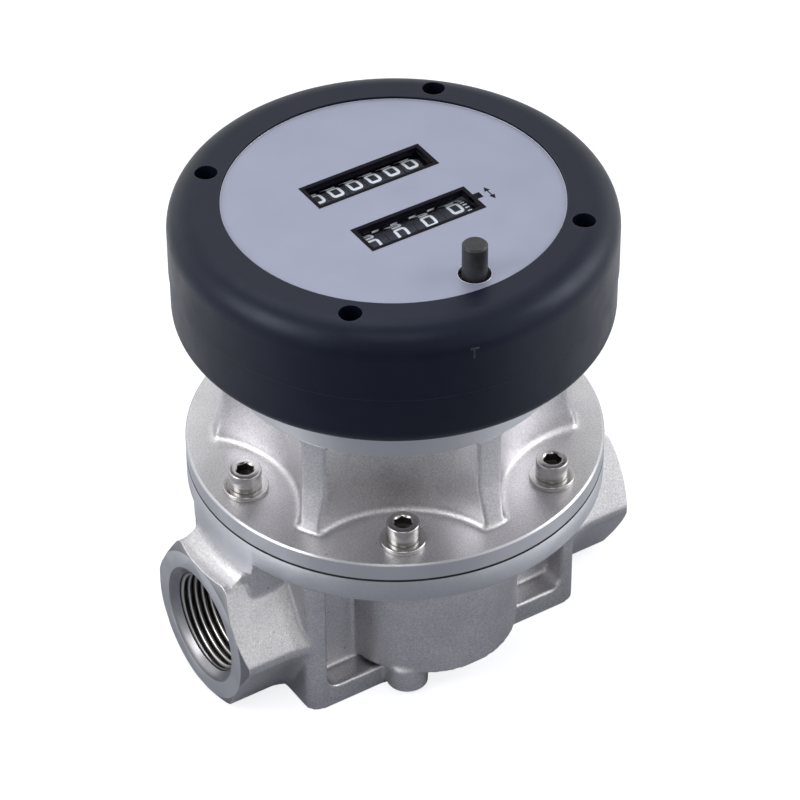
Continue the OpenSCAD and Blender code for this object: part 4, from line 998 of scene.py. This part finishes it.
def whiteForView(tree, mirrored=None):
    # 1 for the camera; with mirrored, that share of 1 for mirrors too, or else 1 for clear pieces
    path = put(tree, "ShaderNodeLightPath").outputs
    if mirrored:
        others = sums(tree, "MULTIPLY", path["Is Glossy Ray"], mirrored)
    else:
        others = path["Is Transmission Ray"]
    return sums(tree, "MAXIMUM", path["Is Camera Ray"], others)


def mirrorGlowWithPaintedShadow(tree):
    # the table as mirrors see it: a painted shadow round the meter, where its glow fades, and bright at its
    # sides and behind it
    s = studio
    place = placeOn(tree)
    # painted shadow: the glow that mirrors see fades towards the meter
    outsidePaintedShadow = ranged(tree, vectorSums(tree, "LENGTH", place), *s["paintedShadowReach"])
    way = put(tree, "ShaderNodeVectorMath", {0: place}, operation="NORMALIZE").outputs["Vector"]
    front = vectorSums(tree, "DOT_PRODUCT", way, s["frontWay"])
    return sums(tree, "MULTIPLY", outsidePaintedShadow, ranged(tree, front, *s["mirrorAside"], 0.0, s["tableMirror"]))


def makeSky():
    s = studio
    world = bpy.data.worlds.new("studio")
    bpy.context.scene.world = world
    world.use_nodes = True
    tree = world.node_tree
    light = tree.nodes["Background"]
    light.inputs["Color"].default_value = (1, 1, 1, 1)
    way = put(tree, "ShaderNodeTexCoord").outputs["Generated"]
    front = vectorSums(tree, "DOT_PRODUCT", way, s["frontWay"])
    middle = ranged(tree, front, *s["skyTurn"], s["skyBehind"], s["skyFront"])
    aside = sums(tree, "ABSOLUTE", vectorSums(tree, "DOT_PRODUCT", way, s["sideWay"]))
    surround = ranged(tree, aside, *s["skyAside"], middle, s["skySides"])
    ray = put(tree, "ShaderNodeLightPath").outputs["Is Glossy Ray"]
    strength = put(tree, "ShaderNodeMix", {0: ray, 2: s["worldLight"], 3: surround})
    tree.links.new(strength.outputs[0], light.inputs["Strength"])
    plain = put(tree, "ShaderNodeBackground", {"Color": (1, 1, 1, 1), "Strength": 1.0})
    mix = put(tree, "ShaderNodeMixShader", {0: whiteForView(tree), 1: light.outputs[0], 2: plain.outputs[0]})
    tree.links.new(mix.outputs[0], tree.nodes["World Output"].inputs["Surface"])


def hangLamps():
    for name, s in lamps.items():
        lamp = bpy.data.lights.new(name, "AREA")
        lamp.shape, lamp.size, lamp.energy = "SQUARE", s["size"], s["power"]
        holder = linked(name, lamp)
        holder.location = s["at"]
        aim = Vector(studio["lampAim"]) - Vector(s["at"])
        holder.rotation_euler = aim.to_track_quat("-Z", "Y").to_euler()


def makeTable():
    s = studio
    shape = bmesh.new()
    bmesh.ops.create_grid(shape, x_segments=2, y_segments=2, size=4)
    table = linked("table", meshOf(shape, "table"))
    white = bpy.data.materials.new("tableWhite")
    white.use_nodes = True
    tree = white.node_tree
    shader = tree.nodes["Principled BSDF"]
    shader.inputs["Base Color"].default_value = (*s["table"], 1)
    shader.inputs["Roughness"].default_value = s["tableRough"]
    shader.inputs["Specular IOR Level"].default_value = 0
    glow = put(tree, "ShaderNodeEmission", {"Color": (1, 1, 1, 1), "Strength": s["tableGlow"]})
    both = put(tree, "ShaderNodeAddShader", {0: shader.outputs[0], 1: glow.outputs[0]})
    seen = whiteForView(tree, mirrorGlowWithPaintedShadow(tree))
    mix = put(tree, "ShaderNodeMixShader", {0: seen, 1: shader.outputs[0], 2: both.outputs[0]})
    tree.links.new(mix.outputs[0], tree.nodes["Material Output"].inputs["Surface"])
    painted(table.data, white)


makeSky()
hangLamps()
makeTable()
placeCamera()
bpy.context.scene.view_settings.view_transform = "Standard"
print("studio set")
